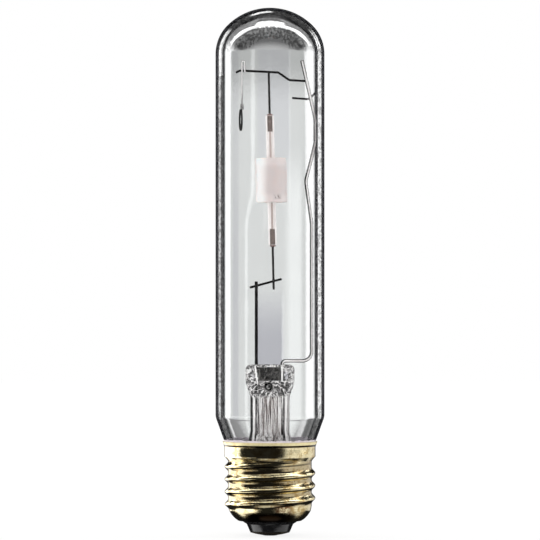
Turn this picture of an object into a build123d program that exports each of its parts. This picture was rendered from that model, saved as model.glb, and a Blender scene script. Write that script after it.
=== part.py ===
from build123d import *
import os
from math import cos, hypot, radians, sin, sqrt

os.makedirs("parts", exist_ok=True)

# Sizes are in millimetres. The lamp stands on its contact, with the dome at the top.

# Outer bulb
lamp_length = 152.9
bulb_d = 31.6
bulb_wall = 2.0
crown_extra = 1.7
knuckle_in = 4.1
shoulder_r = 5.0
neck_lift = 4.4
neck_drop = 0.78
neck_gap = 0.03
cone_gap = 0.17

# Screw shell
thread_d = 26.3
thread_depth = 1.05
thread_pitch = 3.62
thread_length = 13.0
crest_flat = 0.95
root_flat = 0.92
ridge_sink = 0.3
ridge_lead_in = 1.37
run_out_below = 1.2
run_out_above = 0.9
run_in_below = 1.3
run_in_above = 0.7
shell_sheet = 0.35
skirt_step = 0.05
skirt_rise = 1.3
skirt_h = 2.85
lip_flare = 0.55
lip_h = 1.45
cup_step = 0.24
cup_step_h = 0.4
cup_arc_r = 6.63
cup_arc_cut = 0.57
cup_drop = 1.78
cup_turn_in = 2.66

# Insulator, centre contact and cement
contact_d = 11.52
contact_flat_d = 4.6
contact_hole_d = 1.6
contact_dome_r = 18.9
contact_rim = 0.25
solder_bevel = 0.4
solder_sink = 0.25
insulator_seat_step = 0.19
insulator_waist_step = 0.45
insulator_waist_h = 1.35
insulator_tip_step = 0.6
insulator_floor_h = 2.2
insulator_gap = 0.3
cement_gap = 0.2

# Glass stem and exhaust tube
stem_d = 11.4
stem_wall = 0.9
flare_lift = 0.2
flare_rim_h = 1.0
flare_h = 16.3
stem_tube_h = 9.7
press_neck_h = 2.2
press_taper_h = 3.0
press_h = 4.1
press_spread = 1.4
press_cover = 0.7
press_round_r = 1.4
stem_floor_h = 0.6
window_depth = 0.7
window_side_gap = 0.2
window_below = 0.5
window_above = 0.9
window_round_r = 0.6
exhaust_d = 4.4
exhaust_bore_d = 2.8
exhaust_top_drop = 0.8
exhaust_end_wall = 0.7
exhaust_tip_d = 1.4
exhaust_tip_wall = 1.0
exhaust_tip_h = 2.6
exhaust_tip_lift = 1.9
exhaust_hole_d = 2.4
exhaust_hole_h = 0.4

# Wires: diameters, welds and the two wires that stand in the press
frame_wire_d = 1.0
riser_wire_d = 0.9
cross_wire_d = 0.65
spring_wire_d = 0.6
getter_wire_d = 0.5
seal_wire_d = 0.7
outer_lead_d = 0.8
weld_gap = 0.02
wall_gap = 0.2
frame_y = -0.9
frame_foot_inset = 1.3
frame_foot_lift = 0.1
frame_foot_bend_r = 1.0
frame_side_bend_r = 2.6
frame_side_inset = 1.1
frame_waist_inset = 2.8
frame_end_inset = 3.9
frame_waist_start = 12.4
frame_waist_drop = 0.3
frame_wall_start = 10.7
frame_wall_end = 17.7
frame_end_h = 6.0
riser_inset = 0.85
riser_end_h = 1.8
butt_depth = 0.6
seal_end_h = 5.9

# Wires: the two cross wires, the wall spring and the outer leads
low_cross_left = 1.95
low_cross_right = 3.05
low_cross_rise = 2.5
low_cross_lift = 0.6
up_cross_left = 0.6
up_cross_end = 1.2
up_cross_hook_h = 0.6
up_cross_lift = 0.1
up_cross_crank_x = 2.4
up_cross_fall = 0.55
up_cross_crank_w = 3.2
up_cross_crank_h = 2.2
up_cross_end_fall = 0.35
up_cross_overhang = 0.4
spring_rise = 23.5
spring_bend_inset = 0.57
spring_length = 4.8
spring_fall = 0.35
spring_end_h = 1.8
centre_lead_lift = 2.6
centre_lead_slope_h = 4.0
side_lead_drop = 1.8
side_lead_end_drop = 1.4

# Getter
getter_inset = 5.7
getter_hook_w = 0.8
getter_hook_drop = 0.5
getter_hook_h = 2.6
getter_length = 10.6
getter_ring_d = 6.4
getter_ring_bore_d = 5.2
getter_ring_t = 0.5
getter_ring_drop = 0.5
getter_ring_side = 0.4
getter_ring_shift = 0.4
getter_trough = 0.25
getter_sheet = 0.16
getter_turn = 9.0
getter_tab_w = 1.0
getter_tab_h = 0.9

# Arc tube, along its own tilted axis
arc_x = 0.35
arc_drop = 50.0
arc_tilt = 1.31
barrel_d = 9.15
barrel_bore_d = 7.3
barrel_length = 13.0
barrel_round_r = 0.5
plug_inset = 0.25
plug_t = 2.0
capillary_d = 2.5
capillary_bore_d = 1.0
capillary_reach = 12.3
frit_length = 4.7
frit_collar_d = 1.9
frit_collar_h = 0.5
lead_d = 0.65
lead_sink = 0.5
lead_reach = 12.9
inner_rod_d = 0.8
inner_rod_reach = 0.65
electrode_d = 0.4
electrode_length = 2.3
coil_d = 0.9
coil_length = 1.2
dose_angles = (-45.0, -40.0, 9.0)
dose_insets = (2.38, 1.17, 1.02)
dose_sizes = (0.45, 0.6, 0.4)
dose_rise = 0.7
dose_taper = 35.0


def contact_z(r):
    """Height of the domed underside of the centre contact at radius r."""
    return contact_dome_r - sqrt(contact_dome_r ** 2 - r ** 2)


def cup_z(r, arc_r):
    """Height of the round bottom of the base at radius r."""
    return cup_centre_z - sqrt(arc_r ** 2 - (r - cup_centre_r) ** 2)


def neck_cone_r(z):
    """Radius of the outside of the bulb's cone at height z."""
    return neck_r + (z - neck_top_z) * cone_slope


def frame_lean_x(z):
    """Place of the frame wire at height z, where it leans in below the dome."""
    return frame_wall_x - frame_end_inset * (z - frame_wall_high_z) / (frame_end_z - frame_wall_high_z)


# Radii of the base, from the thread inwards
root_r = thread_d / 2 - thread_depth
ridge_foot = thread_pitch - root_flat
ridge_root = ridge_foot + (ridge_foot - crest_flat) * ridge_sink / thread_depth
shell_bore_r = root_r - shell_sheet
skirt_r = thread_d / 2 + skirt_step
skirt_bore_r = skirt_r - shell_sheet
lip_r = skirt_r + lip_flare
cup_r = root_r - cup_step
cup_bore_r = cup_r - shell_sheet
cup_centre_r = cup_r - cup_arc_r + cup_arc_cut
cup_inner_arc_r = cup_arc_r - shell_sheet
shell_mouth_r = cup_r - cup_turn_in
cup_band_r = (cup_r + shell_mouth_r) / 2
contact_r = contact_d / 2
contact_flat_r = contact_flat_d / 2
contact_band_r = (contact_r + contact_flat_r) / 2
contact_hole_r = contact_hole_d / 2
solder_flat_r = contact_flat_r - solder_bevel
insulator_seat_r = contact_r + insulator_seat_step
insulator_waist_r = insulator_seat_r + insulator_waist_step
insulator_tip_r = insulator_waist_r + insulator_tip_step
side_lead_r = shell_bore_r - outer_lead_d / 2 - weld_gap
neck_r = side_lead_r - outer_lead_d / 2 - neck_gap

# Heights of the base, from the contact up
contact_top_z = contact_z(contact_r) + contact_rim
solder_top_z = contact_top_z - solder_sink
lead_end_z = contact_z(contact_flat_r) + weld_gap
insulator_waist_z = contact_top_z + insulator_waist_h
cup_centre_z = contact_top_z + insulator_floor_h + cup_arc_r
cup_top_z = cup_centre_z - cup_drop
insulator_top_z = cup_top_z - insulator_gap
core_start_z = cup_top_z + cup_step_h
ridge_start_z = core_start_z - ridge_lead_in
skirt_bottom_z = core_start_z + thread_length
skirt_full_z = skirt_bottom_z + skirt_rise
ridge_h = skirt_bottom_z + run_out_above + thread_pitch / 2 - ridge_start_z
lip_start_z = skirt_full_z + skirt_h
shell_top_z = lip_start_z + lip_h
cement_bottom_z = skirt_full_z + cement_gap

# Bulb: the neck stands in the base, and the cone passes through its rim
bulb_r = bulb_d / 2
bulb_bore_r = bulb_r - bulb_wall
neck_bore_r = neck_r - bulb_wall
neck_bottom_z = core_start_z + neck_lift
neck_top_z = skirt_bottom_z - neck_drop
cone_slope = (skirt_bore_r - cone_gap - neck_r) / (lip_start_z - neck_top_z)
shoulder_z = neck_top_z + (bulb_r - neck_r) / cone_slope
crown_r = bulb_r + crown_extra
knuckle_r = bulb_r - knuckle_in
crown_centre_z = lamp_length - crown_r
knuckle_rise = sqrt((crown_r - knuckle_r) ** 2 - knuckle_in ** 2)
knuckle_centre_z = crown_centre_z + knuckle_rise
dome_join_x = knuckle_in / (crown_r - knuckle_r)
dome_join_z = knuckle_rise / (crown_r - knuckle_r)
crown_mid_x = sqrt((1 - dome_join_z) / 2)
crown_mid_z = sqrt((1 + dome_join_z) / 2)
knuckle_mid_x = sqrt((1 + dome_join_x) / 2)
knuckle_mid_z = sqrt((1 - dome_join_x) / 2)

# Stem: the flare meets the neck, and the press holds the wires
stem_r = stem_d / 2
stem_bore_r = stem_r - stem_wall
flare_bottom_z = neck_bottom_z + flare_lift
flare_rim_z = flare_bottom_z + flare_rim_h
flare_start_z = flare_rim_z + flare_h
press_start_z = flare_start_z + stem_tube_h
stem_floor_z = press_start_z + stem_floor_h
press_bottom_z = press_start_z + press_neck_h
press_full_z = press_bottom_z + press_taper_h
press_top_z = press_full_z + press_h
press_w = stem_d + 2 * press_spread
press_t = exhaust_d + 2 * press_cover
butt_z = press_full_z - butt_depth
seal_bottom_z = press_start_z - seal_end_h
window_bottom_z = press_full_z - window_below
window_top_z = press_top_z - window_above
centre_lead_drop_z = insulator_top_z + centre_lead_lift
centre_lead_turn_z = centre_lead_drop_z + centre_lead_slope_h
side_lead_turn_z = neck_bottom_z - side_lead_drop
side_lead_end_z = neck_top_z - side_lead_end_drop
exhaust_top_z = press_full_z - exhaust_top_drop
exhaust_bore_top_z = exhaust_top_z - exhaust_end_wall
exhaust_tip_z = centre_lead_turn_z + exhaust_tip_lift
exhaust_shoulder_z = exhaust_tip_z + exhaust_tip_h
exhaust_hole_z = press_bottom_z + exhaust_hole_h

# Arc tube: distances from its middle along its axis
arc_z = lamp_length - arc_drop
plug_outer = barrel_length / 2 - plug_inset
plug_inner = plug_outer - plug_t
capillary_end = barrel_length / 2 + capillary_reach
frit_inner = capillary_end - frit_length
lead_inner_end = frit_inner - lead_sink
lead_outer_end = capillary_end + lead_reach
inner_rod_end = plug_inner + inner_rod_reach
electrode_tip = inner_rod_end - electrode_length

# Wires from front to back: each one is welded to the next
cross_y = frame_y + frame_wire_d / 2 + cross_wire_d / 2 + weld_gap
spring_y = frame_y + frame_wire_d / 2 + spring_wire_d / 2 + weld_gap
riser_y = cross_y - cross_wire_d / 2 - riser_wire_d / 2 - weld_gap
getter_y = cross_y - cross_wire_d / 2 - getter_wire_d / 2 - weld_gap
getter_tab_y = getter_y + getter_wire_d / 2 + weld_gap
arc_y = cross_y + cross_wire_d / 2 + lead_d / 2 + weld_gap

# Wires from the wall of the bulb inwards, and up from the ends of the arc tube
riser_x = riser_inset - stem_bore_r
frame_foot_x = stem_bore_r - frame_foot_inset
window_left_x = riser_x + riser_wire_d / 2 + window_side_gap
window_right_x = frame_foot_x - frame_wire_d / 2 - window_side_gap
frame_wall_x = bulb_bore_r - wall_gap - frame_wire_d / 2
frame_side_x = frame_wall_x - frame_side_inset
frame_waist_x = frame_wall_x - frame_waist_inset
frame_end_x = frame_wall_x - frame_end_inset
low_cross_left_x = riser_x - low_cross_left
low_cross_right_x = arc_x + low_cross_right
low_cross_left_z = arc_z - lead_outer_end + low_cross_lift
low_cross_right_z = low_cross_left_z + low_cross_rise
riser_top_z = low_cross_left_z + riser_end_h
getter_x = getter_inset - bulb_bore_r
getter_hook_x = getter_x + getter_hook_w
getter_ring_x = getter_x - getter_ring_side
up_cross_left_x = getter_x - up_cross_left
up_cross_end_x = up_cross_left_x - up_cross_end
up_cross_step_x = up_cross_crank_x + up_cross_crank_w
up_cross_left_z = arc_z + lead_outer_end + up_cross_lift
up_cross_end_z = up_cross_left_z - up_cross_hook_h
up_cross_crank_z = up_cross_left_z - up_cross_fall
up_cross_step_z = up_cross_crank_z - up_cross_crank_h
up_cross_right_z = up_cross_step_z - up_cross_end_fall
getter_hook_z = up_cross_left_z - getter_hook_drop
getter_hook_top_z = up_cross_left_z + getter_hook_h
getter_low_z = up_cross_left_z - getter_length
getter_ring_z = getter_low_z - getter_ring_drop - getter_ring_d / 2
getter_tab_top_z = getter_low_z + getter_tab_h
frame_foot_z = press_top_z + frame_foot_lift + frame_foot_bend_r
frame_waist_low_z = arc_z - frame_waist_start
frame_waist_z = arc_z - frame_waist_drop
frame_wall_low_z = arc_z + frame_wall_start
frame_wall_high_z = arc_z + frame_wall_end
frame_end_z = up_cross_right_z + frame_end_h
up_cross_right_x = frame_lean_x(up_cross_right_z) + up_cross_overhang
spring_bend_z = arc_z + spring_rise
spring_left_z = spring_bend_z + spring_fall
spring_end_z = spring_bend_z + spring_end_h
spring_bend_x = frame_lean_x(spring_bend_z) - spring_bend_inset
spring_left_x = spring_bend_x - spring_length
spring_end_x = bulb_bore_r - wall_gap - spring_wire_d / 2


# Outer bulb: a wall of even thickness from the neck to the dome
with BuildPart() as outer_bulb:
    with BuildSketch(Plane.XZ) as bulb_outside:
        with BuildLine():
            Polyline(
                (0, neck_bottom_z),
                (neck_r, neck_bottom_z),
                (neck_r, neck_top_z),
                (bulb_r, shoulder_z),
                (bulb_r, knuckle_centre_z),
            )
            ThreePointArc(
                (bulb_r, knuckle_centre_z),
                (
                    knuckle_in + knuckle_r * knuckle_mid_x,
                    knuckle_centre_z + knuckle_r * knuckle_mid_z,
                ),
                (crown_r * dome_join_x, crown_centre_z + crown_r * dome_join_z),
            )
            ThreePointArc(
                (crown_r * dome_join_x, crown_centre_z + crown_r * dome_join_z),
                (crown_r * crown_mid_x, crown_centre_z + crown_r * crown_mid_z),
                (0, lamp_length),
            )
            Line((0, lamp_length), (0, neck_bottom_z))
        make_face()
        fillet(bulb_outside.vertices().sort_by_distance((bulb_r, shoulder_z))[0], shoulder_r)
    revolve(axis=Axis.Z)
    with BuildSketch(Plane.XZ):
        with BuildLine():
            Polyline(
                (0, neck_bottom_z),
                (neck_bore_r, neck_bottom_z),
                (neck_bore_r, neck_top_z),
                (bulb_bore_r, shoulder_z),
                (bulb_bore_r, knuckle_centre_z),
            )
            ThreePointArc(
                (bulb_bore_r, knuckle_centre_z),
                (
                    knuckle_in + (knuckle_r - bulb_wall) * knuckle_mid_x,
                    knuckle_centre_z + (knuckle_r - bulb_wall) * knuckle_mid_z,
                ),
                (
                    (crown_r - bulb_wall) * dome_join_x,
                    crown_centre_z + (crown_r - bulb_wall) * dome_join_z,
                ),
            )
            ThreePointArc(
                (
                    (crown_r - bulb_wall) * dome_join_x,
                    crown_centre_z + (crown_r - bulb_wall) * dome_join_z,
                ),
                (
                    (crown_r - bulb_wall) * crown_mid_x,
                    crown_centre_z + (crown_r - bulb_wall) * crown_mid_z,
                ),
                (0, lamp_length - bulb_wall),
            )
            Line((0, lamp_length - bulb_wall), (0, neck_bottom_z))
        make_face()
    revolve(axis=Axis.Z, mode=Mode.SUBTRACT)
outer_bulb.part.label = "outer_bulb"
export_step(outer_bulb.part, "parts/outer_bulb.step")

# Thread ridge: one right-hand ridge that runs in from nothing at the bottom and out again below the skirt
with BuildPart() as thread_ridge:
    with BuildLine() as ridge_path:
        Helix(
            pitch=thread_pitch,
            height=ridge_h,
            radius=root_r,
            center=(0, 0, ridge_start_z),
        )
    with BuildSketch(
        Plane(origin=ridge_path.line @ 0, x_dir=(1, 0, 0), z_dir=ridge_path.line % 0)
    ):
        with BuildLine():
            Polyline(
                (-ridge_sink, -ridge_root / 2),
                (thread_depth, -crest_flat / 2),
                (thread_depth, crest_flat / 2),
                (-ridge_sink, ridge_root / 2),
                close=True,
            )
        make_face()
    sweep(path=ridge_path.line, is_frenet=True)
    with BuildSketch(Plane.XZ):
        with BuildLine():
            Polyline(
                (0, core_start_z - run_in_below),
                (root_r, core_start_z - run_in_below),
                (skirt_r, core_start_z + run_in_above),
                (skirt_r, skirt_bottom_z - run_out_below),
                (root_r, skirt_bottom_z + run_out_above),
                (0, skirt_bottom_z + run_out_above),
                close=True,
            )
        make_face()
    revolve(axis=Axis.Z, mode=Mode.INTERSECT)

# Screw shell: thin sheet, turned in at the bottom and flared at the rim
with BuildPart() as screw_shell:
    with BuildSketch(Plane.XZ):
        with BuildLine():
            Polyline(
                (cup_r, cup_z(cup_r, cup_arc_r)),
                (cup_r, cup_top_z),
                (root_r, core_start_z),
                (root_r, skirt_bottom_z),
                (skirt_r, skirt_full_z),
                (skirt_r, lip_start_z),
                (lip_r, shell_top_z),
                (0, shell_top_z),
                (0, cup_z(shell_mouth_r, cup_arc_r)),
                (shell_mouth_r, cup_z(shell_mouth_r, cup_arc_r)),
                (cup_band_r, cup_z(cup_band_r, cup_arc_r)),
                close=True,
            )
        make_face()
    revolve(axis=Axis.Z)
    add(thread_ridge.part)
    with BuildSketch(Plane.XZ):
        with BuildLine():
            Polyline(
                (cup_bore_r, cup_z(cup_bore_r, cup_inner_arc_r)),
                (cup_bore_r, cup_top_z),
                (shell_bore_r, core_start_z),
                (shell_bore_r, skirt_bottom_z),
                (skirt_bore_r, skirt_full_z),
                (skirt_bore_r, lip_start_z),
                (lip_r - shell_sheet, shell_top_z),
                (0, shell_top_z),
                (0, cup_z(shell_mouth_r, cup_arc_r)),
                (shell_mouth_r, cup_z(shell_mouth_r, cup_arc_r)),
                (shell_mouth_r, cup_z(shell_mouth_r, cup_inner_arc_r)),
                close=True,
            )
        make_face()
    revolve(axis=Axis.Z, mode=Mode.SUBTRACT)
screw_shell.part.label = "screw_shell"
export_step(screw_shell.part, "parts/screw_shell.step")

# Base insulator: glass that fills the bottom of the shell and shows as a ring around the contact
with BuildPart() as base_insulator:
    with BuildSketch(Plane.XZ):
        with BuildLine():
            Polyline(
                (shell_mouth_r, cup_z(shell_mouth_r, cup_inner_arc_r)),
                (shell_mouth_r, cup_z(shell_mouth_r, cup_arc_r)),
                (insulator_tip_r, cup_z(insulator_tip_r, cup_arc_r)),
                (insulator_waist_r, insulator_waist_z),
                (insulator_seat_r, contact_top_z),
                (contact_hole_r, contact_top_z),
                (contact_hole_r, insulator_top_z),
                (cup_bore_r, insulator_top_z),
                (cup_bore_r, cup_z(cup_bore_r, cup_inner_arc_r)),
                close=True,
            )
        make_face()
    revolve(axis=Axis.Z)
base_insulator.part.label = "base_insulator"
export_step(base_insulator.part, "parts/base_insulator.step")

# Centre contact: a domed plate under the insulator, with a hole for its lead
with BuildPart() as centre_contact:
    with BuildSketch(Plane.XZ):
        with BuildLine():
            Polyline(
                (contact_flat_r, contact_z(contact_flat_r)),
                (contact_hole_r, contact_z(contact_flat_r)),
                (contact_hole_r, contact_top_z),
                (contact_r, contact_top_z),
                (contact_r, contact_z(contact_r)),
                (contact_band_r, contact_z(contact_band_r)),
                close=True,
            )
        make_face()
    revolve(axis=Axis.Z)
centre_contact.part.label = "centre_contact"
export_step(centre_contact.part, "parts/centre_contact.step")

# Contact solder: a flat button that fills the hole around the lead
with BuildPart() as contact_solder:
    with BuildSketch(Plane.XZ):
        with BuildLine():
            Polyline(
                (0, 0),
                (solder_flat_r, 0),
                (contact_flat_r, contact_z(contact_flat_r)),
                (contact_hole_r, contact_z(contact_flat_r)),
                (contact_hole_r, solder_top_z),
                (outer_lead_d / 2, solder_top_z),
                (outer_lead_d / 2, lead_end_z),
                (0, lead_end_z),
                close=True,
            )
        make_face()
    revolve(axis=Axis.Z)
contact_solder.part.label = "contact_solder"
export_step(contact_solder.part, "parts/contact_solder.step")

# Base cement: a ring between the cone of the bulb and the skirt of the shell
with BuildPart() as base_cement:
    with BuildSketch(Plane.XZ):
        with BuildLine():
            Polyline(
                (neck_cone_r(cement_bottom_z), cement_bottom_z),
                (skirt_bore_r, cement_bottom_z),
                (skirt_bore_r, lip_start_z),
                (lip_r - shell_sheet, shell_top_z),
                (neck_cone_r(shell_top_z), shell_top_z),
                close=True,
            )
        make_face()
    revolve(axis=Axis.Z)
base_cement.part.label = "base_cement"
export_step(base_cement.part, "parts/base_cement.step")

# Glass stem: flare tube below, flat press above, with bores for the wires and the exhaust tube
with BuildPart() as glass_stem:
    with BuildSketch(Plane.XZ):
        with BuildLine():
            Polyline(
                (stem_r, press_start_z),
                (stem_r, flare_start_z),
                (neck_bore_r, flare_rim_z),
                (neck_bore_r, flare_bottom_z),
                (neck_bore_r - stem_wall, flare_bottom_z),
                (stem_bore_r, flare_start_z),
                (stem_bore_r, stem_floor_z),
                (0, stem_floor_z),
                (0, press_full_z),
                (press_t / 2, press_full_z),
                close=True,
            )
        make_face()
    revolve(axis=Axis.Z)
    with BuildSketch(Plane.XY.offset(press_bottom_z)):
        SlotOverall(press_w, press_t)
    extrude(amount=press_top_z - press_bottom_z)
    chamfer(glass_stem.faces().sort_by(Axis.Z)[-1].edges(), press_round_r)
    for side in (1, -1):
        with BuildSketch(Plane.XZ.offset(side * (press_t / 2 - window_depth))) as window:
            with BuildLine():
                Polyline(
                    (window_left_x, window_bottom_z),
                    (window_right_x, window_bottom_z),
                    (window_right_x, window_top_z),
                    (window_left_x, window_top_z),
                    close=True,
                )
            make_face()
            fillet(window.vertices(), window_round_r)
        extrude(amount=side * press_t, mode=Mode.SUBTRACT)
    with BuildSketch(Plane.XY.offset(butt_z)):
        with Locations((frame_foot_x, frame_y)):
            Circle(frame_wire_d / 2)
        with Locations((riser_x, riser_y)):
            Circle(riser_wire_d / 2)
    extrude(amount=press_top_z - butt_z, mode=Mode.SUBTRACT)
    with BuildSketch(Plane.XY.offset(press_start_z)):
        with Locations((frame_foot_x, frame_y), (riser_x, riser_y)):
            Circle(seal_wire_d / 2)
    extrude(amount=butt_z - press_start_z, mode=Mode.SUBTRACT)
    with BuildSketch(Plane.XY.offset(press_start_z)):
        Circle(exhaust_d / 2)
    extrude(amount=exhaust_top_z - press_start_z, mode=Mode.SUBTRACT)
    with BuildSketch(Plane.XZ):
        with Locations((0, exhaust_hole_z)):
            Circle(exhaust_hole_d / 2)
    extrude(amount=stem_d, mode=Mode.SUBTRACT)
glass_stem.part.label = "glass_stem"
export_step(glass_stem.part, "parts/glass_stem.step")

# Exhaust tube: tipped off at the bottom, with a hole in its side that meets the hole in the press
with BuildPart() as exhaust_tube:
    with BuildSketch(Plane.XZ):
        with BuildLine():
            Polyline(
                (0, exhaust_top_z),
                (exhaust_d / 2, exhaust_top_z),
                (exhaust_d / 2, exhaust_shoulder_z),
                (exhaust_tip_d / 2, exhaust_tip_z),
                (0, exhaust_tip_z),
                (0, exhaust_tip_z + exhaust_tip_wall),
                (exhaust_bore_d / 2, exhaust_shoulder_z),
                (exhaust_bore_d / 2, exhaust_bore_top_z),
                (0, exhaust_bore_top_z),
                close=True,
            )
        make_face()
    revolve(axis=Axis.Z)
    with BuildSketch(Plane.XZ):
        with Locations((0, exhaust_hole_z)):
            Circle(exhaust_hole_d / 2)
    extrude(amount=exhaust_d, mode=Mode.SUBTRACT)
exhaust_tube.part.label = "exhaust_tube"
export_step(exhaust_tube.part, "parts/exhaust_tube.step")

# Frame wire: bent in one plane, from the press to the top of the arc tube
with BuildPart() as frame_wire:
    with BuildLine(Plane.XZ.offset(-frame_y)) as frame_path:
        Polyline(
            (frame_foot_x, butt_z),
            (frame_foot_x, frame_foot_z),
            (frame_side_x, frame_foot_z),
            (frame_side_x, frame_waist_low_z),
            (frame_waist_x, frame_waist_z),
            (frame_wall_x, frame_wall_low_z),
            (frame_wall_x, frame_wall_high_z),
            (frame_end_x, frame_end_z),
        )
        fillet(
            frame_path.vertices().sort_by_distance((frame_foot_x, frame_y, frame_foot_z))[0],
            frame_foot_bend_r,
        )
        fillet(
            frame_path.vertices().sort_by_distance((frame_side_x, frame_y, frame_foot_z))[0],
            frame_side_bend_r,
        )
    with BuildSketch(Plane(origin=(frame_foot_x, frame_y, butt_z))):
        Circle(frame_wire_d / 2)
    sweep(path=frame_path.wires()[0], transition=Transition.RIGHT)
frame_wire.part.label = "frame_wire"
export_step(frame_wire.part, "parts/frame_wire.step")

# Riser wire: straight, from the press to the lower cross wire
with BuildPart() as riser_wire:
    with BuildSketch(Plane.XY.offset(butt_z)):
        with Locations((riser_x, riser_y)):
            Circle(riser_wire_d / 2)
    extrude(amount=riser_top_z - butt_z)
riser_wire.part.label = "riser_wire"
export_step(riser_wire.part, "parts/riser_wire.step")

# Seal wires: through the glass of the press, each butted to the wire above it
with BuildPart() as frame_seal_wire:
    with BuildSketch(Plane.XY.offset(seal_bottom_z)):
        with Locations((frame_foot_x, frame_y)):
            Circle(seal_wire_d / 2)
    extrude(amount=butt_z - seal_bottom_z)
frame_seal_wire.part.label = "frame_seal_wire"
export_step(frame_seal_wire.part, "parts/frame_seal_wire.step")

with BuildPart() as riser_seal_wire:
    with BuildSketch(Plane.XY.offset(seal_bottom_z)):
        with Locations((riser_x, riser_y)):
            Circle(seal_wire_d / 2)
    extrude(amount=butt_z - seal_bottom_z)
riser_seal_wire.part.label = "riser_seal_wire"
export_step(riser_seal_wire.part, "parts/riser_seal_wire.step")

# Centre lead: from the riser's seal wire down to the solder of the contact
riser_reach = hypot(riser_x, riser_y)
centre_lead_plane = Plane(
    origin=(0, 0, 0), x_dir=(riser_x, riser_y, 0), z_dir=(riser_y, -riser_x, 0)
)
with BuildPart() as centre_lead:
    with BuildLine(centre_lead_plane) as centre_lead_path:
        Polyline(
            (riser_reach, seal_bottom_z),
            (riser_reach, centre_lead_turn_z),
            (0, centre_lead_drop_z),
            (0, lead_end_z),
        )
    with BuildSketch(Plane(origin=(riser_x, riser_y, seal_bottom_z), z_dir=(0, 0, -1))):
        Circle(outer_lead_d / 2)
    sweep(path=centre_lead_path.wires()[0], transition=Transition.RIGHT)
centre_lead.part.label = "centre_lead"
export_step(centre_lead.part, "parts/centre_lead.step")

# Side lead: from the frame's seal wire out under the neck and up along the inside of the shell
frame_reach = hypot(frame_foot_x, frame_y)
side_lead_plane = Plane(
    origin=(0, 0, 0), x_dir=(frame_foot_x, frame_y, 0), z_dir=(frame_y, -frame_foot_x, 0)
)
with BuildPart() as side_lead:
    with BuildLine(side_lead_plane) as side_lead_path:
        Polyline(
            (frame_reach, seal_bottom_z),
            (frame_reach, side_lead_turn_z),
            (side_lead_r, side_lead_turn_z),
            (side_lead_r, side_lead_end_z),
        )
    with BuildSketch(Plane(origin=(frame_foot_x, frame_y, seal_bottom_z), z_dir=(0, 0, -1))):
        Circle(outer_lead_d / 2)
    sweep(path=side_lead_path.wires()[0], transition=Transition.RIGHT)
side_lead.part.label = "side_lead"
export_step(side_lead.part, "parts/side_lead.step")

# Lower cross wire: behind the riser, in front of the lower lead
with BuildPart() as lower_cross_wire:
    with BuildLine() as lower_cross_path:
        Line(
            (low_cross_left_x, cross_y, low_cross_left_z),
            (low_cross_right_x, cross_y, low_cross_right_z),
        )
    with BuildSketch(Plane(origin=lower_cross_path.line @ 0, z_dir=lower_cross_path.line % 0)):
        Circle(cross_wire_d / 2)
    sweep(path=lower_cross_path.line)
lower_cross_wire.part.label = "lower_cross_wire"
export_step(lower_cross_wire.part, "parts/lower_cross_wire.step")

# Upper cross wire: cranked down on the right, where it meets the frame wire
with BuildPart() as upper_cross_wire:
    with BuildLine(Plane.XZ.offset(-cross_y)) as upper_cross_path:
        Polyline(
            (up_cross_end_x, up_cross_end_z),
            (up_cross_left_x, up_cross_left_z),
            (up_cross_crank_x, up_cross_crank_z),
            (up_cross_step_x, up_cross_step_z),
            (up_cross_right_x, up_cross_right_z),
        )
    with BuildSketch(
        Plane(
            origin=(up_cross_end_x, cross_y, up_cross_end_z),
            z_dir=(up_cross_left_x - up_cross_end_x, 0, up_cross_left_z - up_cross_end_z),
        )
    ):
        Circle(cross_wire_d / 2)
    sweep(path=upper_cross_path.wires()[0], transition=Transition.RIGHT)
upper_cross_wire.part.label = "upper_cross_wire"
export_step(upper_cross_wire.part, "parts/upper_cross_wire.step")

# Wall spring: behind the frame wire, turned up where it reaches the bulb
with BuildPart() as wall_spring:
    with BuildLine(Plane.XZ.offset(-spring_y)) as spring_path:
        Polyline(
            (spring_left_x, spring_left_z),
            (spring_bend_x, spring_bend_z),
            (spring_end_x, spring_end_z),
        )
    with BuildSketch(
        Plane(
            origin=(spring_left_x, spring_y, spring_left_z),
            z_dir=(spring_bend_x - spring_left_x, 0, spring_bend_z - spring_left_z),
        )
    ):
        Circle(spring_wire_d / 2)
    sweep(path=spring_path.wires()[0], transition=Transition.RIGHT)
wall_spring.part.label = "wall_spring"
export_step(wall_spring.part, "parts/wall_spring.step")

# Getter holder: hooked over the upper cross wire
getter_hook_r = (getter_hook_x - getter_x) / 2
with BuildPart() as getter_holder:
    with BuildLine(Plane.XZ.offset(-getter_y)) as getter_path:
        Polyline(
            (getter_x, getter_low_z),
            (getter_x, getter_hook_top_z - getter_hook_r),
            (getter_x + getter_hook_r, getter_hook_top_z),
            (getter_hook_x, getter_hook_top_z - getter_hook_r),
            (getter_hook_x, getter_hook_z),
        )
    with BuildSketch(Plane(origin=(getter_x, getter_y, getter_low_z))):
        Circle(getter_wire_d / 2)
    sweep(path=getter_path.wires()[0], transition=Transition.RIGHT)
getter_holder.part.label = "getter_holder"
export_step(getter_holder.part, "parts/getter_holder.step")

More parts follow.
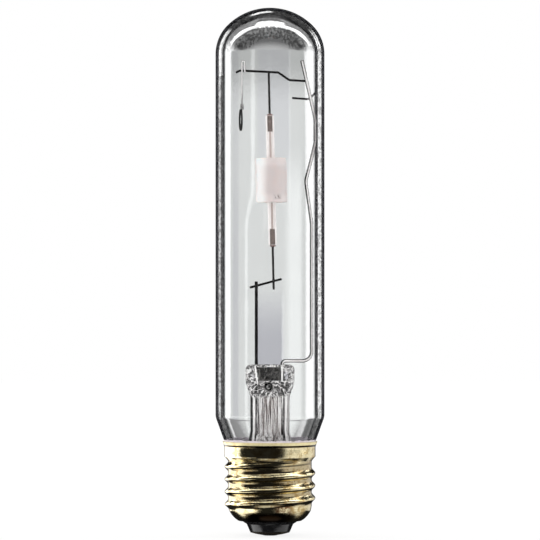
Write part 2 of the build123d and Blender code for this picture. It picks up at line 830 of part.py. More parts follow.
# Getter ring: a pressed trough with a tab that is welded behind the holder
getter_plane = Plane(
    origin=(getter_ring_x, getter_tab_y + getter_ring_shift, getter_ring_z),
    x_dir=(-sin(radians(getter_turn)), cos(radians(getter_turn)), 0),
    z_dir=(cos(radians(getter_turn)), sin(radians(getter_turn)), 0),
)
with BuildPart() as getter_ring:
    with BuildSketch(getter_plane):
        Circle(getter_ring_d / 2)
        Circle(getter_ring_bore_d / 2, mode=Mode.SUBTRACT)
    extrude(amount=getter_ring_t / 2, both=True)
    with BuildSketch(getter_plane.offset(getter_ring_t / 2 - getter_trough)):
        Circle(getter_ring_d / 2 - getter_sheet)
        Circle(getter_ring_bore_d / 2 + getter_sheet, mode=Mode.SUBTRACT)
    extrude(amount=getter_trough, mode=Mode.SUBTRACT)
    with BuildSketch(Plane.XZ.offset(-getter_tab_y)):
        with BuildLine():
            Polyline(
                (getter_x - getter_tab_w / 2, getter_ring_z + getter_ring_d / 2 - getter_sheet),
                (getter_x + getter_tab_w / 2, getter_ring_z + getter_ring_d / 2 - getter_sheet),
                (getter_x + getter_tab_w / 2, getter_tab_top_z),
                (getter_x - getter_tab_w / 2, getter_tab_top_z),
                close=True,
            )
        make_face()
    extrude(amount=-getter_sheet)
getter_ring.part.label = "getter_ring"
export_step(getter_ring.part, "parts/getter_ring.step")

# Arc tube: every piece is turned about one tilted axis, and the lower half mirrors the upper
arc_axis = Axis((arc_x, arc_y, arc_z), (-sin(radians(arc_tilt)), 0, cos(radians(arc_tilt))))
arc_plane = Plane(
    origin=(arc_x, arc_y, arc_z),
    x_dir=(cos(radians(arc_tilt)), 0, sin(radians(arc_tilt))),
    z_dir=(0, -1, 0),
)
arc_mid = Plane(
    origin=(arc_x, arc_y, arc_z), x_dir=arc_plane.x_dir, z_dir=arc_axis.direction
)

with BuildPart() as arc_barrel:
    with BuildSketch(arc_plane):
        with BuildLine():
            Polyline(
                (barrel_bore_d / 2, -barrel_length / 2),
                (barrel_d / 2 - barrel_round_r, -barrel_length / 2),
                (barrel_d / 2, barrel_round_r - barrel_length / 2),
                (barrel_d / 2, barrel_length / 2 - barrel_round_r),
                (barrel_d / 2 - barrel_round_r, barrel_length / 2),
                (barrel_bore_d / 2, barrel_length / 2),
                close=True,
            )
        make_face()
    revolve(axis=arc_axis)
arc_barrel.part.label = "arc_barrel"
export_step(arc_barrel.part, "parts/arc_barrel.step")

with BuildPart() as upper_plug:
    with BuildSketch(arc_plane):
        with BuildLine():
            Polyline(
                (capillary_d / 2, plug_inner),
                (barrel_bore_d / 2, plug_inner),
                (barrel_bore_d / 2, plug_outer),
                (capillary_d / 2, plug_outer),
                close=True,
            )
        make_face()
    revolve(axis=arc_axis)
upper_plug.part.label = "upper_plug"
export_step(upper_plug.part, "parts/upper_plug.step")

with BuildPart() as lower_plug:
    mirror(upper_plug.part, about=arc_mid)
lower_plug.part.label = "lower_plug"
export_step(lower_plug.part, "parts/lower_plug.step")

with BuildPart() as upper_capillary:
    with BuildSketch(arc_plane):
        with BuildLine():
            Polyline(
                (capillary_bore_d / 2, plug_inner),
                (capillary_d / 2, plug_inner),
                (capillary_d / 2, capillary_end),
                (capillary_bore_d / 2, capillary_end),
                close=True,
            )
        make_face()
    revolve(axis=arc_axis)
upper_capillary.part.label = "upper_capillary"
export_step(upper_capillary.part, "parts/upper_capillary.step")

with BuildPart() as lower_capillary:
    mirror(upper_capillary.part, about=arc_mid)
lower_capillary.part.label = "lower_capillary"
export_step(lower_capillary.part, "parts/lower_capillary.step")

# Frit seals: fill the bore around the lead and stand as a collar on the end of the capillary
with BuildPart() as upper_frit:
    with BuildSketch(arc_plane):
        with BuildLine():
            Polyline(
                (lead_d / 2, frit_inner),
                (capillary_bore_d / 2, frit_inner),
                (capillary_bore_d / 2, capillary_end),
                (frit_collar_d / 2, capillary_end),
                (lead_d / 2, capillary_end + frit_collar_h),
                close=True,
            )
        make_face()
    revolve(axis=arc_axis)
upper_frit.part.label = "upper_frit"
export_step(upper_frit.part, "parts/upper_frit.step")

with BuildPart() as lower_frit:
    mirror(upper_frit.part, about=arc_mid)
lower_frit.part.label = "lower_frit"
export_step(lower_frit.part, "parts/lower_frit.step")

# Leads, inner rods and electrodes: one line of butted rods through each capillary
with BuildPart() as upper_lead:
    with BuildSketch(arc_mid.offset(lead_inner_end)):
        Circle(lead_d / 2)
    extrude(amount=lead_outer_end - lead_inner_end)
upper_lead.part.label = "upper_lead"
export_step(upper_lead.part, "parts/upper_lead.step")

with BuildPart() as lower_lead:
    mirror(upper_lead.part, about=arc_mid)
lower_lead.part.label = "lower_lead"
export_step(lower_lead.part, "parts/lower_lead.step")

with BuildPart() as upper_inner_rod:
    with BuildSketch(arc_mid.offset(inner_rod_end)):
        Circle(inner_rod_d / 2)
    extrude(amount=lead_inner_end - inner_rod_end)
upper_inner_rod.part.label = "upper_inner_rod"
export_step(upper_inner_rod.part, "parts/upper_inner_rod.step")

with BuildPart() as lower_inner_rod:
    mirror(upper_inner_rod.part, about=arc_mid)
lower_inner_rod.part.label = "lower_inner_rod"
export_step(lower_inner_rod.part, "parts/lower_inner_rod.step")

with BuildPart() as upper_electrode:
    with BuildSketch(arc_mid.offset(electrode_tip)):
        Circle(electrode_d / 2)
    extrude(amount=inner_rod_end - electrode_tip)
    with BuildSketch(arc_mid.offset(electrode_tip)):
        Circle(coil_d / 2)
    extrude(amount=coil_length)
upper_electrode.part.label = "upper_electrode"
export_step(upper_electrode.part, "parts/upper_electrode.step")

with BuildPart() as lower_electrode:
    mirror(upper_electrode.part, about=arc_mid)
lower_electrode.part.label = "lower_electrode"
export_step(lower_electrode.part, "parts/lower_electrode.step")

# Halide dose: three beads that lie on the lower plug
with BuildPart() as halide_dose:
    for bead_angle, bead_inset, bead_r in zip(dose_angles, dose_insets, dose_sizes):
        with BuildSketch(arc_mid.offset(-plug_inner)):
            with PolarLocations(barrel_bore_d / 2 - bead_inset, 1, start_angle=bead_angle):
                Circle(bead_r)
        extrude(amount=bead_r * dose_rise, taper=dose_taper)
halide_dose.part.label = "halide_dose"
export_step(halide_dose.part, "parts/halide_dose.step")
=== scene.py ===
# %% [markdown]
# # A metal halide lamp, dressed
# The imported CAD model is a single-ended discharge lamp: a thick clear bulb, a brass screw base,
# a glass stem with its wires, and a small ceramic arc tube. This notebook keeps every size of that
# model and gives each piece the smooth surface and the finish that a lamp has in the hand.

# %% Load the frame
import math

import bmesh
import bpy
from mathutils import Matrix, Vector, noise


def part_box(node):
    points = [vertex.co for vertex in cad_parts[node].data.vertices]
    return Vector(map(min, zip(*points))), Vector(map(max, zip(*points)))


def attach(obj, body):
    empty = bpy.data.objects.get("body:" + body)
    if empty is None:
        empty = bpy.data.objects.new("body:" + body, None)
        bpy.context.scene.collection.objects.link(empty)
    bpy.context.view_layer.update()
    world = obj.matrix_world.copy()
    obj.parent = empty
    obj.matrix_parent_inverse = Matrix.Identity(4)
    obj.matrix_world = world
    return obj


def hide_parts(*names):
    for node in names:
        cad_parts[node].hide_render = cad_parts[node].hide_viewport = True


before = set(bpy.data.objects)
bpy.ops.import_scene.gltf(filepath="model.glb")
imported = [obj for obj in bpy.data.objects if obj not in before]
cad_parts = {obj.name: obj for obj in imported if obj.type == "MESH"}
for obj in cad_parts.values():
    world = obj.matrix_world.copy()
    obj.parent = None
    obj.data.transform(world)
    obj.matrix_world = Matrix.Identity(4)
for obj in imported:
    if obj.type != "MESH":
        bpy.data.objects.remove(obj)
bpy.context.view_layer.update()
print("CAD nodes:", len(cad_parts))

# %% [markdown]
# Lamp parts are measured in millimetres, while Blender counts in metres. So every shape is drawn in
# millimetres and made smaller once, when it becomes an object. The heights that most pieces share are
# read from the boxes of the CAD nodes.

# %% Shared measures
mm = 0.001


def box(node):
    """The lowest and the highest corner of a CAD node, in millimetres."""
    return [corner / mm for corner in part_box(node)]


bulb_low, bulb_high = box("outer_bulb")
stem_low, stem_high = box("glass_stem")
shell_high = box("screw_shell")[1]
bulb_r = min(-bulb_low.x, bulb_high.x)
lamp_top = bulb_high.z
lip_r = shell_high.x
shell_top = shell_high.z
print("bulb radius in mm:", round(bulb_r, 2), "lamp height in mm:", round(lamp_top, 2))

# %% [markdown]
# Glass, caps and ceramic tubes are all round, so most pieces start as a half section. It could be a
# curve, but a chain of bmesh vertices needs no conversion: a straight run is an extruded vertex, and
# a rounded corner is the last vertex spun about the centre of its arc.


# %% Drawing a half section
class Section:
    """A line in the plane of radius and height, drawn from one vertex to the next."""

    def __init__(self, r, z):
        self.mesh = bmesh.new()
        self.tip = self.mesh.verts.new((r, 0, z))

    def line(self, r, z, steps=1):
        """Carries the line straight on to a radius and a height."""
        start = self.tip.co.copy()
        for step in range(1, steps + 1):
            grown = bmesh.ops.extrude_vert_indiv(self.mesh, verts=[self.tip])
            self.tip = grown["verts"][0]
            self.tip.co = start.lerp(Vector((r, 0, z)), step / steps)

    def lines(self, *ends):
        """Carries the line through several places, each with its radius, height and steps."""
        for end in ends:
            self.line(*end)

    def arc(self, centre_r, centre_z, degrees, steps=12):
        """Carries the line round a centre; a positive angle leads from the top outwards."""
        swung = bmesh.ops.spin(
            self.mesh,
            geom=[self.tip],
            cent=(centre_r, 0, centre_z),
            axis=(0, 1, 0),
            angle=math.radians(degrees),
            steps=steps,
        )
        self.tip = [end for end in swung["geom_last"] if isinstance(end, bmesh.types.BMVert)][0]

    def turned(self, segments):
        """Spins the section once about the upright axis and closes its seam and poles."""
        bmesh.ops.spin(
            self.mesh,
            geom=[*self.mesh.verts, *self.mesh.edges],
            cent=(0, 0, 0),
            axis=(0, 0, 1),
            angle=math.tau,
            steps=segments,
            use_merge=True,
        )
        return closed(self.mesh)


def closed(mesh):
    """Merges the doubled vertices of a seam or pole and turns the faces outwards."""
    bmesh.ops.remove_doubles(mesh, verts=mesh.verts, dist=0.002)
    bmesh.ops.dissolve_degenerate(mesh, dist=0.001, edges=mesh.edges)
    bmesh.ops.recalc_face_normals(mesh, faces=mesh.faces)
    return mesh


print("section drawing is ready")

# %% [markdown]
# Every bmesh ends the same way: it is brought to metres and becomes a mesh object at the origin. A
# piece of the lamp is also shaded smooth with its hard corners kept, rides on the lamp's one body and
# stands for the CAD nodes that it was made from.


# %% Making a piece of the lamp
def new_object(name, mesh, finish):
    """Turns a bmesh drawn in millimetres into an object with a finish."""
    data = bpy.data.meshes.new(name)
    bmesh.ops.scale(mesh, vec=(mm, mm, mm), verts=mesh.verts)
    mesh.to_mesh(data)
    mesh.free()
    data.materials.append(finish)
    made = bpy.data.objects.new(name, data)
    bpy.context.scene.collection.objects.link(made)
    return made


def make_piece(name, mesh, finish, slot, *nodes, corner=38):
    """Makes a piece that replaces CAD nodes; edges sharper than the corner angle stay hard."""
    piece = new_object(name, mesh, finish)
    piece.data.shade_smooth()
    piece.data.set_sharp_from_angle(angle=math.radians(corner))
    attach(piece, "root")
    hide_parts(*nodes)
    piece.data.calc_loop_triangles()
    print(name, "has", len(piece.data.loop_triangles), "triangles")
    return piece


def dress(finish, *nodes):
    """Gives CAD nodes whose shape is right already a better finish."""
    for node in nodes:
        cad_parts[node].data.materials.clear()
        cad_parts[node].data.materials.append(finish)
    print(finish.name, "on", ", ".join(nodes))


# %% [markdown]
# A finish is a small graph of shader nodes. Written as node calls alone it is hard to read, so one
# class wraps a socket: sums, products and powers of such values add the Math nodes by themselves,
# and one method adds every other kind of node.


# %% Shader values
class Value:
    """The output of a shader node, which Python sums can use."""

    def __init__(self, tree, socket):
        self.tree = tree
        self.socket = socket

    def node(self, kind, settings, sockets, output=0):
        """Adds a shader node: its type, then its settings, then the values or links of its sockets."""
        made = self.tree.nodes.new("ShaderNode" + kind)
        for name, setting in settings.items():
            if name == "stops":
                while len(made.color_ramp.elements) < len(setting):
                    made.color_ramp.elements.new(1.0)
                for stop, (position, level) in zip(made.color_ramp.elements, setting):
                    stop.position = position
                    stop.color = (level, level, level, 1.0)
            else:
                setattr(made, name, setting)
        for name, value in sockets.items():
            entry = made.inputs[name]
            if isinstance(value, Value):
                self.tree.links.new(value.socket, entry)
            else:
                entry.default_value = (*value, 1.0) if entry.type == "RGBA" else value
        return Value(self.tree, made.outputs[output] if made.outputs else None)

    def maths(self, operation, first, second=0.0):
        """Adds a Math node."""
        return self.node("Math", {"operation": operation}, {0: first, 1: second})

    def __add__(self, other):
        return self.maths("ADD", self, other)

    def __radd__(self, other):
        return self.maths("ADD", other, self)

    def __sub__(self, other):
        return self.maths("SUBTRACT", self, other)

    def __rsub__(self, other):
        return self.maths("SUBTRACT", other, self)

    def __mul__(self, other):
        return self.maths("MULTIPLY", self, other)

    def __rmul__(self, other):
        return self.maths("MULTIPLY", other, self)

    def __truediv__(self, other):
        return self.maths("DIVIDE", self, other)

    def __pow__(self, other):
        return self.maths("POWER", self, other)

    def __abs__(self):
        return self.maths("ABSOLUTE", self)

    def step(self, low, high, bottom=0.0, top=1.0):
        """Rises softly from bottom to top while the value goes from low to high."""
        ends = {"From Min": low, "From Max": high, "To Min": bottom, "To Max": top}
        return self.node("MapRange", {"interpolation_type": "SMOOTHSTEP"}, {"Value": self, **ends})

    def band(self, low, high, soft):
        """Is one between low and high, and fades over a soft edge."""
        return self.step(low - soft, low + soft) * self.step(high - soft, high + soft, 1.0, 0.0)

    def blend(self, below, above):
        """Mixes two colours, with this value as the share of the second."""
        return self.node("Mix", {"data_type": "RGBA"}, {0: self, 6: below, 7: above}, 2)

    def cloud(self, size, detail=3.0, rough=0.55):
        """Noise on these coordinates, with lumps of about the size given."""
        look = {"Scale": 1.0 / size, "Detail": detail, "Roughness": rough}
        return self.node("TexNoise", {}, {"Vector": self, **look})

    def stretch(self, x, y, z):
        """Scales these coordinates, so that a pattern on them gets longer or shorter."""
        return self.node("VectorMath", {"operation": "MULTIPLY"}, {0: self, 1: (x, y, z)})

    def part(self, axis):
        """One of the three numbers of these coordinates."""
        return self.node("SeparateXYZ", {}, {0: self}, axis)

    def relief(self, height):
        """Turns this value into a surface normal; the height is in millimetres."""
        return self.node("Bump", {}, {"Strength": 1.0, "Distance": height * mm, "Height": self})

    def ray(self, question):
        """What the Light Path node knows about the ray that is being traced."""
        return self.node("LightPath", {}, {}, question)


def new_finish(name):
    """Starts a material and gives its Object coordinates in millimetres."""
    finish = bpy.data.materials.new(name)
    finish.use_nodes = True
    finish.node_tree.nodes.clear()
    place = finish.node_tree.nodes.new("ShaderNodeTexCoord")
    return finish, Value(finish.node_tree, place.outputs["Object"]).stretch(1 / mm, 1 / mm, 1 / mm)


def turned_away(place):
    """Is nought where the surface looks to the front or back of the lamp and one where it looks aside."""
    surface = place.node("TexCoord", {}, {}, "Normal")
    return 1.0 - abs(surface.part(1))


def end_finish(place, sockets):
    """Closes a material with its surface shader."""
    shader = place.node("BsdfPrincipled", {}, sockets)
    place.node("OutputMaterial", {}, {"Surface": shader})


print("shader values are ready")

# %% [markdown]
# The lamp is photographed from straight ahead, at half its height and from about a metre away, so
# the rims of the base show as shallow ellipses. The lens is as long as the square picture needs.

# %% Camera
camera_distance = 1.1
view_width = 156.6 * mm
camera_z = 76.9 * mm
camera_data = bpy.data.cameras.new("camera")
camera_data.sensor_width = 36.0
camera_data.lens = camera_data.sensor_width * camera_distance / view_width
camera_data.clip_start = 0.05
camera = bpy.data.objects.new("camera", camera_data)
camera.location = (0, -camera_distance, camera_z)
camera.rotation_euler = (math.radians(90), 0, 0)
bpy.context.scene.collection.objects.link(camera)
bpy.context.scene.camera = camera
print("lens in mm:", round(camera_data.lens, 1))

# %% [markdown]
# Clear glass has no colour of its own: it is drawn by what stands around it. A product photographer
# puts it in a tent with a pale card behind, dark cards beside that card, which draw the edges, and
# long soft lights to the left, above and to the right, which draw the bright bands. Cards and lamps
# could be modelled one by one, but all of them are far away compared with the lamp, so the world's
# colour by direction does the same with no objects to get in the way of other views.

# %% World
world = bpy.data.worlds.new("light_tent")
bpy.context.scene.world = world
world.use_nodes = True
world.node_tree.nodes.clear()
look = Value(world.node_tree, world.node_tree.nodes.new("ShaderNodeTexCoord").outputs["Generated"])
across = look.part(0)
behind = look.part(1)
upward = look.part(2)
degrees = math.degrees(1.0)
turn = look.maths("ARCCOSINE", behind) * degrees
aside = look.maths("ARCSINE", across) * degrees
rise = look.maths("ARCSINE", upward) * degrees
on_left = across.step(0.01, -0.01)
on_right = 1.0 - on_left
reach = behind.maths("SQRT", 1.0001 - behind * behind)
steep = upward / reach
overhead = steep.step(0.35, 0.7)
underneath = steep.step(-0.35, -0.7)
beside = 1.0 - (overhead + underneath)
print("directions are set")

# %% [markdown]
# The outside of the glass mirrors two long soft lights, one on each side, and a softer one overhead.
# Two small lights draw the hooked lines on the dome and one the glint on its top. Low lights on either
# side reach the rounded cup of the base, and the white floor glows straight below.

# %% Light for reflections
soft_lights = (turn - 4.0 * across).band(71.0, 91.0, 1.5) * rise.band(-8.0, 70.0, 3.0)
overhead_light = rise.step(56.0, 70.0)
low_sides = 2.0 * across.step(-0.5, -0.68) + 0.9 * across.step(0.2, 0.5)
low_lights = low_sides * rise.band(-46.0, -6.0, 3.0) * turn.step(58.0, 66.0)
hook_end = steep.step(0.72, 0.6)
left_hook = turn.band(44.0, 58.0, 1.0) * on_left * rise.step(2.88, 2.98)
right_hook = (turn.band(44.0, 48.0, 0.6) + turn.band(53.0, 58.0, 0.6)) * on_right * rise.step(7.0, 9.0)
glint = rise.band(42.0, 50.0, 1.0) * aside.band(-14.0, 1.0, 2.0) * behind.step(0.0, 0.1)
hooks = hook_end * (5.0 * left_hook + 4.0 * right_hook) + 6.0 * glint
floor_glow = rise.step(-70.0, -78.0)
mirror_light = 0.015 + 1.1 * overhead_light + 0.6 * floor_glow + low_lights + 2.6 * soft_lights + hooks
print("reflected lights are set")

# %% [markdown]
# Through the glass the camera sees the card behind the lamp, paler to the right and dimmer towards its
# foot, with the faint upright line that the frame wire leaves in the far wall. The curved edges of the
# glass look past the card: first at its white frame, then at dark cards. Seen from its other sides the
# lamp has a plain pale card behind it, which no ray reaches that was mirrored inside the bulb, so the
# inner face of the glass lays no haze over the dark wires.


# %% Cards behind the lamp
def cards(*stops):
    """What stands round the card on one side, as levels at angles away from straight behind."""
    levels = [(angle / 180.0, level) for angle, level in stops]
    return look.node("ValToRGB", {"stops": levels}, {"Fac": turn / 180.0})


ceiling = rise.step(2.45, 3.2)
foot = rise.step(-0.1, -1.1) * aside.step(1.8, 1.3) * aside.step(-2.0, -1.6)
glow = rise.step(2.0, 1.0) * aside.band(2.2, 5.6, 0.8)
wire_line = (aside + 2.2 + 1.2 * rise.step(1.3, 0.6)).band(-0.3, 0.3, 0.15)
window_pane = aside.band(-1.45, 2.6, 0.1) * rise.step(1.2, 2.0)
pane_edge = (aside - 2.6).band(-0.12, 0.12, 0.08) * rise.step(0.6, 1.4)
foot_edge = (aside - 1.55).band(-0.12, 0.12, 0.08) * rise.step(-0.2, -0.6)
left_strip = aside.band(-8.4, -5.6, 0.4) * rise.step(1.6, 0.2, 0.5)
card_end = rise.step(-2.5, -3.3)
bright_marks = 0.2 * glow + 0.2 * wire_line + 0.1 * pane_edge + 0.14 * foot_edge
dim_marks = 0.27 * ceiling + 0.22 * foot + 0.03 * window_pane + 0.1 * left_strip + 0.2 * card_end
pale_card = 0.77 + bright_marks - dim_marks
card_width = on_left * turn.step(9.8, 10.6, 1.0, 0.0) + on_right * turn.step(7.2, 8.0, 1.0, 0.0)
on_card = card_width * rise.step(4.6, 4.0) * rise.step(-3.6, -3.0)

left_cards = cards((0, 1.0), (22, 1.0), (23.5, 0.6), (36, 0.55), (40, 0.06))
right_cards = cards(
    (0, 1.0), (16.5, 1.0), (18, 0.42), (25, 0.38), (26, 0.9), (43, 0.9), (46, 0.03), (96, 0.03), (110, 0.15)
)
top_cards = cards(
    (0, 0.56), (4.4, 0.56), (5.2, 0.36), (6.2, 0.15), (8.6, 0.12), (9.2, 0.25), (11.4, 0.27),
    (11.8, 0.04), (12.2, 0.04), (12.5, 1.0), (15.6, 1.0), (15.9, 0.03), (16.6, 0.03), (17.2, 0.13),
    (24, 0.1), (58, 0.05), (62, 0.3)
)
low_cards = cards((0, 0.5), (3.3, 0.36), (8, 0.3), (12, 0.12), (30, 0.08), (60, 0.03))
top_band = 1.0 + 0.5 * turn.band(12.2, 15.8, 0.3)
low = rise.step(-2.6, -3.7)
low_line = on_left * turn.band(12.6, 15.6, 0.5) + on_right * turn.band(6.4, 9.4, 0.5)
low_edge = on_left * turn.step(15.8, 17.0) + on_right * turn.step(9.8, 11.0)
low_side = 0.33 + 0.67 * low_line - 0.17 * low_edge
side_cards = 1.12 * (1.0 - low) * (on_left * left_cards + on_right * right_cards) + low * low_side
past_card = beside * side_cards + overhead * top_band * top_cards + underneath * low_cards
mirrored = look.ray("Glossy Depth").step(0.2, 0.8)
other_side = look.maths("MAXIMUM", turn.step(46.0, 54.0), rise.step(-12.0, -18.0)) * (1.0 - mirrored)
front_view = on_card * pale_card + (1.0 - on_card) * past_card
glass_loss = 1.22
seen_light = glass_loss * ((1.0 - other_side) * front_view + 0.74 * other_side)
print("cards are set")

# %% [markdown]
# Last, each kind of ray gets its own share of the tent: straight rays see plain white, rays through
# glass see the cards, mirrored rays see the lights, and scattered rays get an even soft light.

# %% Join the tent
scattered = look.ray("Diffuse Depth").step(0.2, 0.8)
through_glass = look.ray("Is Transmission Ray")
fill_light = 0.85 + 1.2 * through_glass + 0.2 * upward - 0.2 * across
sharp_light = through_glass * seen_light + (1.0 - through_glass) * mirror_light
tent_light = scattered * fill_light + (1.0 - scattered) * sharp_light
straight = look.ray("Is Camera Ray")
strength = straight + (1.0 - straight) * tent_light
cool = foot + 0.4 * window_pane + 0.5 * left_strip
card_tint = cool.blend((0.982, 1.0, 0.988), (0.93, 0.935, 1.0))
tint = (through_glass * on_card).blend((1.0, 1.0, 1.0), card_tint)
tent = look.node("Background", {}, {"Color": tint, "Strength": strength})
look.node("OutputWorld", {}, {"Surface": tent})
print("world nodes:", len(world.node_tree.nodes))

# %% [markdown]
# The floor is a plain white sheet. Seen straight it gives its own white, so that it meets the white
# behind it with no line, and a small part of plain paper keeps the shadow that the lamp leaves on it.

# %% Floor
paper, place = new_finish("floor_paper")
plain = place.node("BsdfDiffuse", {}, {"Color": (0.9, 0.9, 0.9)})
lit = place.node("Emission", {}, {"Color": (1.0, 1.0, 1.0), "Strength": 1.0})
sheet = place.node("MixShader", {}, {0: place.ray("Is Camera Ray") * 0.85, 1: plain, 2: lit})
place.node("OutputMaterial", {}, {"Surface": sheet})
floor_mesh = bmesh.new()
bmesh.ops.create_grid(floor_mesh, x_segments=1, y_segments=1, size=1500)
floor = new_object("floor", floor_mesh, paper)
floor.visible_transmission = False
floor.visible_glossy = False
print("floor size in m:", round(floor.dimensions.x, 2))

# %% [markdown]
# A metal base needs something to mirror that stops short of the bulb above it, so a low card stands
# round it, seen only in reflections. It is bright on the left, gold-grey on the right and dark in
# front, where the camera is, and that dark part is the black band down the middle of the brass. Light
# linking keeps it off the glass cone above: only what is put in its collection is lit by it.

# %% Cards round the base
base_card_r = 45
base_card_top = 25.5
base_card_foot = -2
card_paint, place = new_finish("base_card_paint")
round_angle = place.maths("ARCTAN2", place.part(0), place.part(1)) * math.degrees(1.0)
left_card = round_angle.band(-106.0, -36.0, 7.0)
right_card = round_angle.band(38.0, 146.0, 8.0)
card_level = 0.015 + 2.4 * left_card + 0.8 * right_card
paint = place.node("Emission", {}, {"Color": card_level, "Strength": 1.0})
place.node("OutputMaterial", {}, {"Surface": paint})
card_ring = Section(base_card_r, base_card_foot)
card_ring.line(base_card_r, base_card_top)
base_cards = new_object("base_cards", card_ring.turned(96), card_paint)
base_cards.visible_camera = False
base_cards.visible_diffuse = False
base_cards.visible_transmission = False
base_cards.visible_shadow = False
card_lit = bpy.data.collections.new("lit_by_base_cards")
base_cards.light_linking.receiver_collection = card_lit
print("cards round the base:", len(base_cards.data.polygons), "faces")

# %% [markdown]
# The bulb is blown from thick hard glass. Its waviness is far too small to model, so a low relief goes
# on the smooth shader. The tint stands for the light that two thick walls keep back. At the edges the
# colour is painted to a dark rim, as painted shade, with fine dark speckle of painted shade beside it on
# the front. Layer Weight finds the edge of the glass from any side.

# %% Bulb glass finish
bulb_glass, place = new_finish("bulb_glass")
ripple = place.stretch(1.0, 1.0, 0.6).cloud(1.4, 4.0, 0.6)
breath = place.cloud(7.0, 3.0)
facing = place.node("LayerWeight", {}, {"Blend": 0.5}, 1)
away = turned_away(place)
broad_side = away.step(0.5, 0.6)
# Painted shade: a near black rim at the edges, and below it dark speckle beside the rim.
painted_dark_rim = broad_side * facing.step(0.64, 0.69) + (1.0 - broad_side) * facing.band(0.68, 0.8, 0.03)
dome = place.part(2).step(139.0, 141.0)
edge = facing.step(0.42, 0.5) + dome * facing.band(0.07, 0.26, 0.02)
drawn = away.step(0.34, 0.42) + dome * away.band(0.03, 0.3, 0.02)
front = place.part(1).step(1.0, -1.0)
grain = place.stretch(1.0, 0.25, 0.8).cloud(0.75, 2.0, 0.7)
speckle = grain.step(0.46, 0.54) * edge * drawn * front
clear = breath.blend((0.93, 0.933, 0.934), (0.90, 0.903, 0.905))
shade_speckled = (0.8 * speckle).blend(clear, (0.1, 0.1, 0.1))
end_finish(place, {
    "Base Color": painted_dark_rim.blend(shade_speckled, (0.004, 0.004, 0.005)),
    "Roughness": breath.step(0.45, 0.8, 0.0, 0.02),
    "IOR": 1.48,
    "Specular IOR Level": 0.8,
    "Transmission Weight": 1.0,
    "Normal": ripple.relief(0.004),
})
print("finish:", bulb_glass.name)

# %% [markdown]
# The outer bulb is a tube with a rounded dome and a cone that runs down into the base. It is turned
# from one section that goes down the outside and back up the inside, so the wall is real glass with
# two surfaces, and light bends in it as it does in the lamp.

# %% Outer bulb
bulb_wall = 2.0
crown_r = 17.5
knuckle_r = 11.7
shoulder_round = 5.0
cone_slope = 0.361
neck_top = 20.82
neck_bottom = bulb_low.z
neck_bore_r = stem_high.x
neck_r = neck_bore_r + bulb_wall
bore_r = bulb_r - bulb_wall
crown_z = lamp_top - crown_r
knuckle_centre_r = bulb_r - knuckle_r
crown_angle = math.asin(knuckle_centre_r / (crown_r - knuckle_r))
knuckle_z = crown_z + (crown_r - knuckle_r) * math.cos(crown_angle)
shoulder_z = neck_top + (bulb_r - neck_r) / cone_slope
cone_angle = math.atan(cone_slope)
knuckle_angle = math.pi / 2 - crown_angle
inner_round = shoulder_round - bulb_wall
outer_break = shoulder_z + shoulder_round * math.tan(cone_angle / 2)
inner_break = shoulder_z + inner_round * math.tan(cone_angle / 2)
inner_foot_r = bore_r - inner_round * (1 - math.cos(cone_angle))
bulb = Section(0, lamp_top)
bulb.arc(0, crown_z, math.degrees(crown_angle), 28)
bulb.arc(knuckle_centre_r, knuckle_z, math.degrees(knuckle_angle), 28)
bulb.line(bulb_r, outer_break, 24)
bulb.arc(bulb_r - shoulder_round, outer_break, math.degrees(cone_angle), 10)
bulb.line(neck_r, neck_top, 4)
bulb.lines((neck_r, neck_bottom), (neck_bore_r, neck_bottom), (neck_bore_r, neck_top))
bulb.line(inner_foot_r, inner_break - inner_round * math.sin(cone_angle), 4)
bulb.arc(bore_r - inner_round, inner_break, -math.degrees(cone_angle), 8)
bulb.line(bore_r, knuckle_z, 24)
bulb.arc(knuckle_centre_r, knuckle_z, -math.degrees(knuckle_angle), 28)
bulb.arc(0, crown_z, -math.degrees(crown_angle), 28)
make_piece("bulb", bulb.turned(256), bulb_glass, "bulb_glass", "outer_bulb", corner=50)

# %% [markdown]
# Lamp caps are drawn and rolled from thin brass sheet. Handling leaves dull patches, the rolls leave
# fine lines round the shell, and a brown tarnish stays in the roots of the thread. A dark line of
# painted shade goes under each crest and round the lip, and the cup is painted darker towards its
# bottom and across its middle near the mouth, also as painted shade, with reddish brown patches on
# its right. The top of the lip is painted paler and less metallic, a painted reflection of a bright
# floor. The patches are noise on the piece's own coordinates, the lines are noise squeezed along the
# height, and the dark line under the crests follows the same helix as the thread.

# %% Brass finish
thread_pitch = 3.62
first_crest = 7.23
brass, place = new_finish("rolled_brass")
x_place = place.part(0)
height = place.part(2)
level = place.stretch(1.0, 1.0, 0.0)
radius = place.node("VectorMath", {"operation": "LENGTH"}, {0: level}, 1)
patches = place.cloud(2.6, 4.0, 0.65)
stain = patches.step(0.44, 0.66)
specks = place.cloud(0.6, 3.0).step(0.56, 0.7)
roll_lines = place.stretch(0.3, 0.3, 9.0).cloud(1.6, 4.0, 0.65)
root = radius.step(12.1, 12.5, 1.0, 0.0) * height.step(8.4, 9.4)
fresh = roll_lines.blend((0.98, 0.89, 0.62), (0.92, 0.78, 0.43))
worn = (0.85 * stain).blend(fresh, (0.56, 0.39, 0.15))
tarnished = (0.5 * root + 0.35 * specks).blend(worn, (0.18, 0.10, 0.04))
angle = place.maths("ARCTAN2", place.part(1), x_place) / math.tau
turns = (height - first_crest) / thread_pitch - angle
phase = place.maths("FLOORED_MODULO", turns + 0.5, 1.0) - 0.5
# Painted shade: a dark line under each crest of the thread, and one round the lip.
crest_shade_line = phase.band(-0.21, -0.06, 0.04) * height.band(9.3, 21.0, 0.8)
lip_shade_line = height.band(25.85, 26.4, 0.06)
cup_side = height.step(9.6, 8.8) * x_place.band(1.2, 6.2, 1.2) * patches.step(0.35, 0.55)
reddened = (0.9 * cup_side).blend(tarnished, (0.14, 0.05, 0.016))
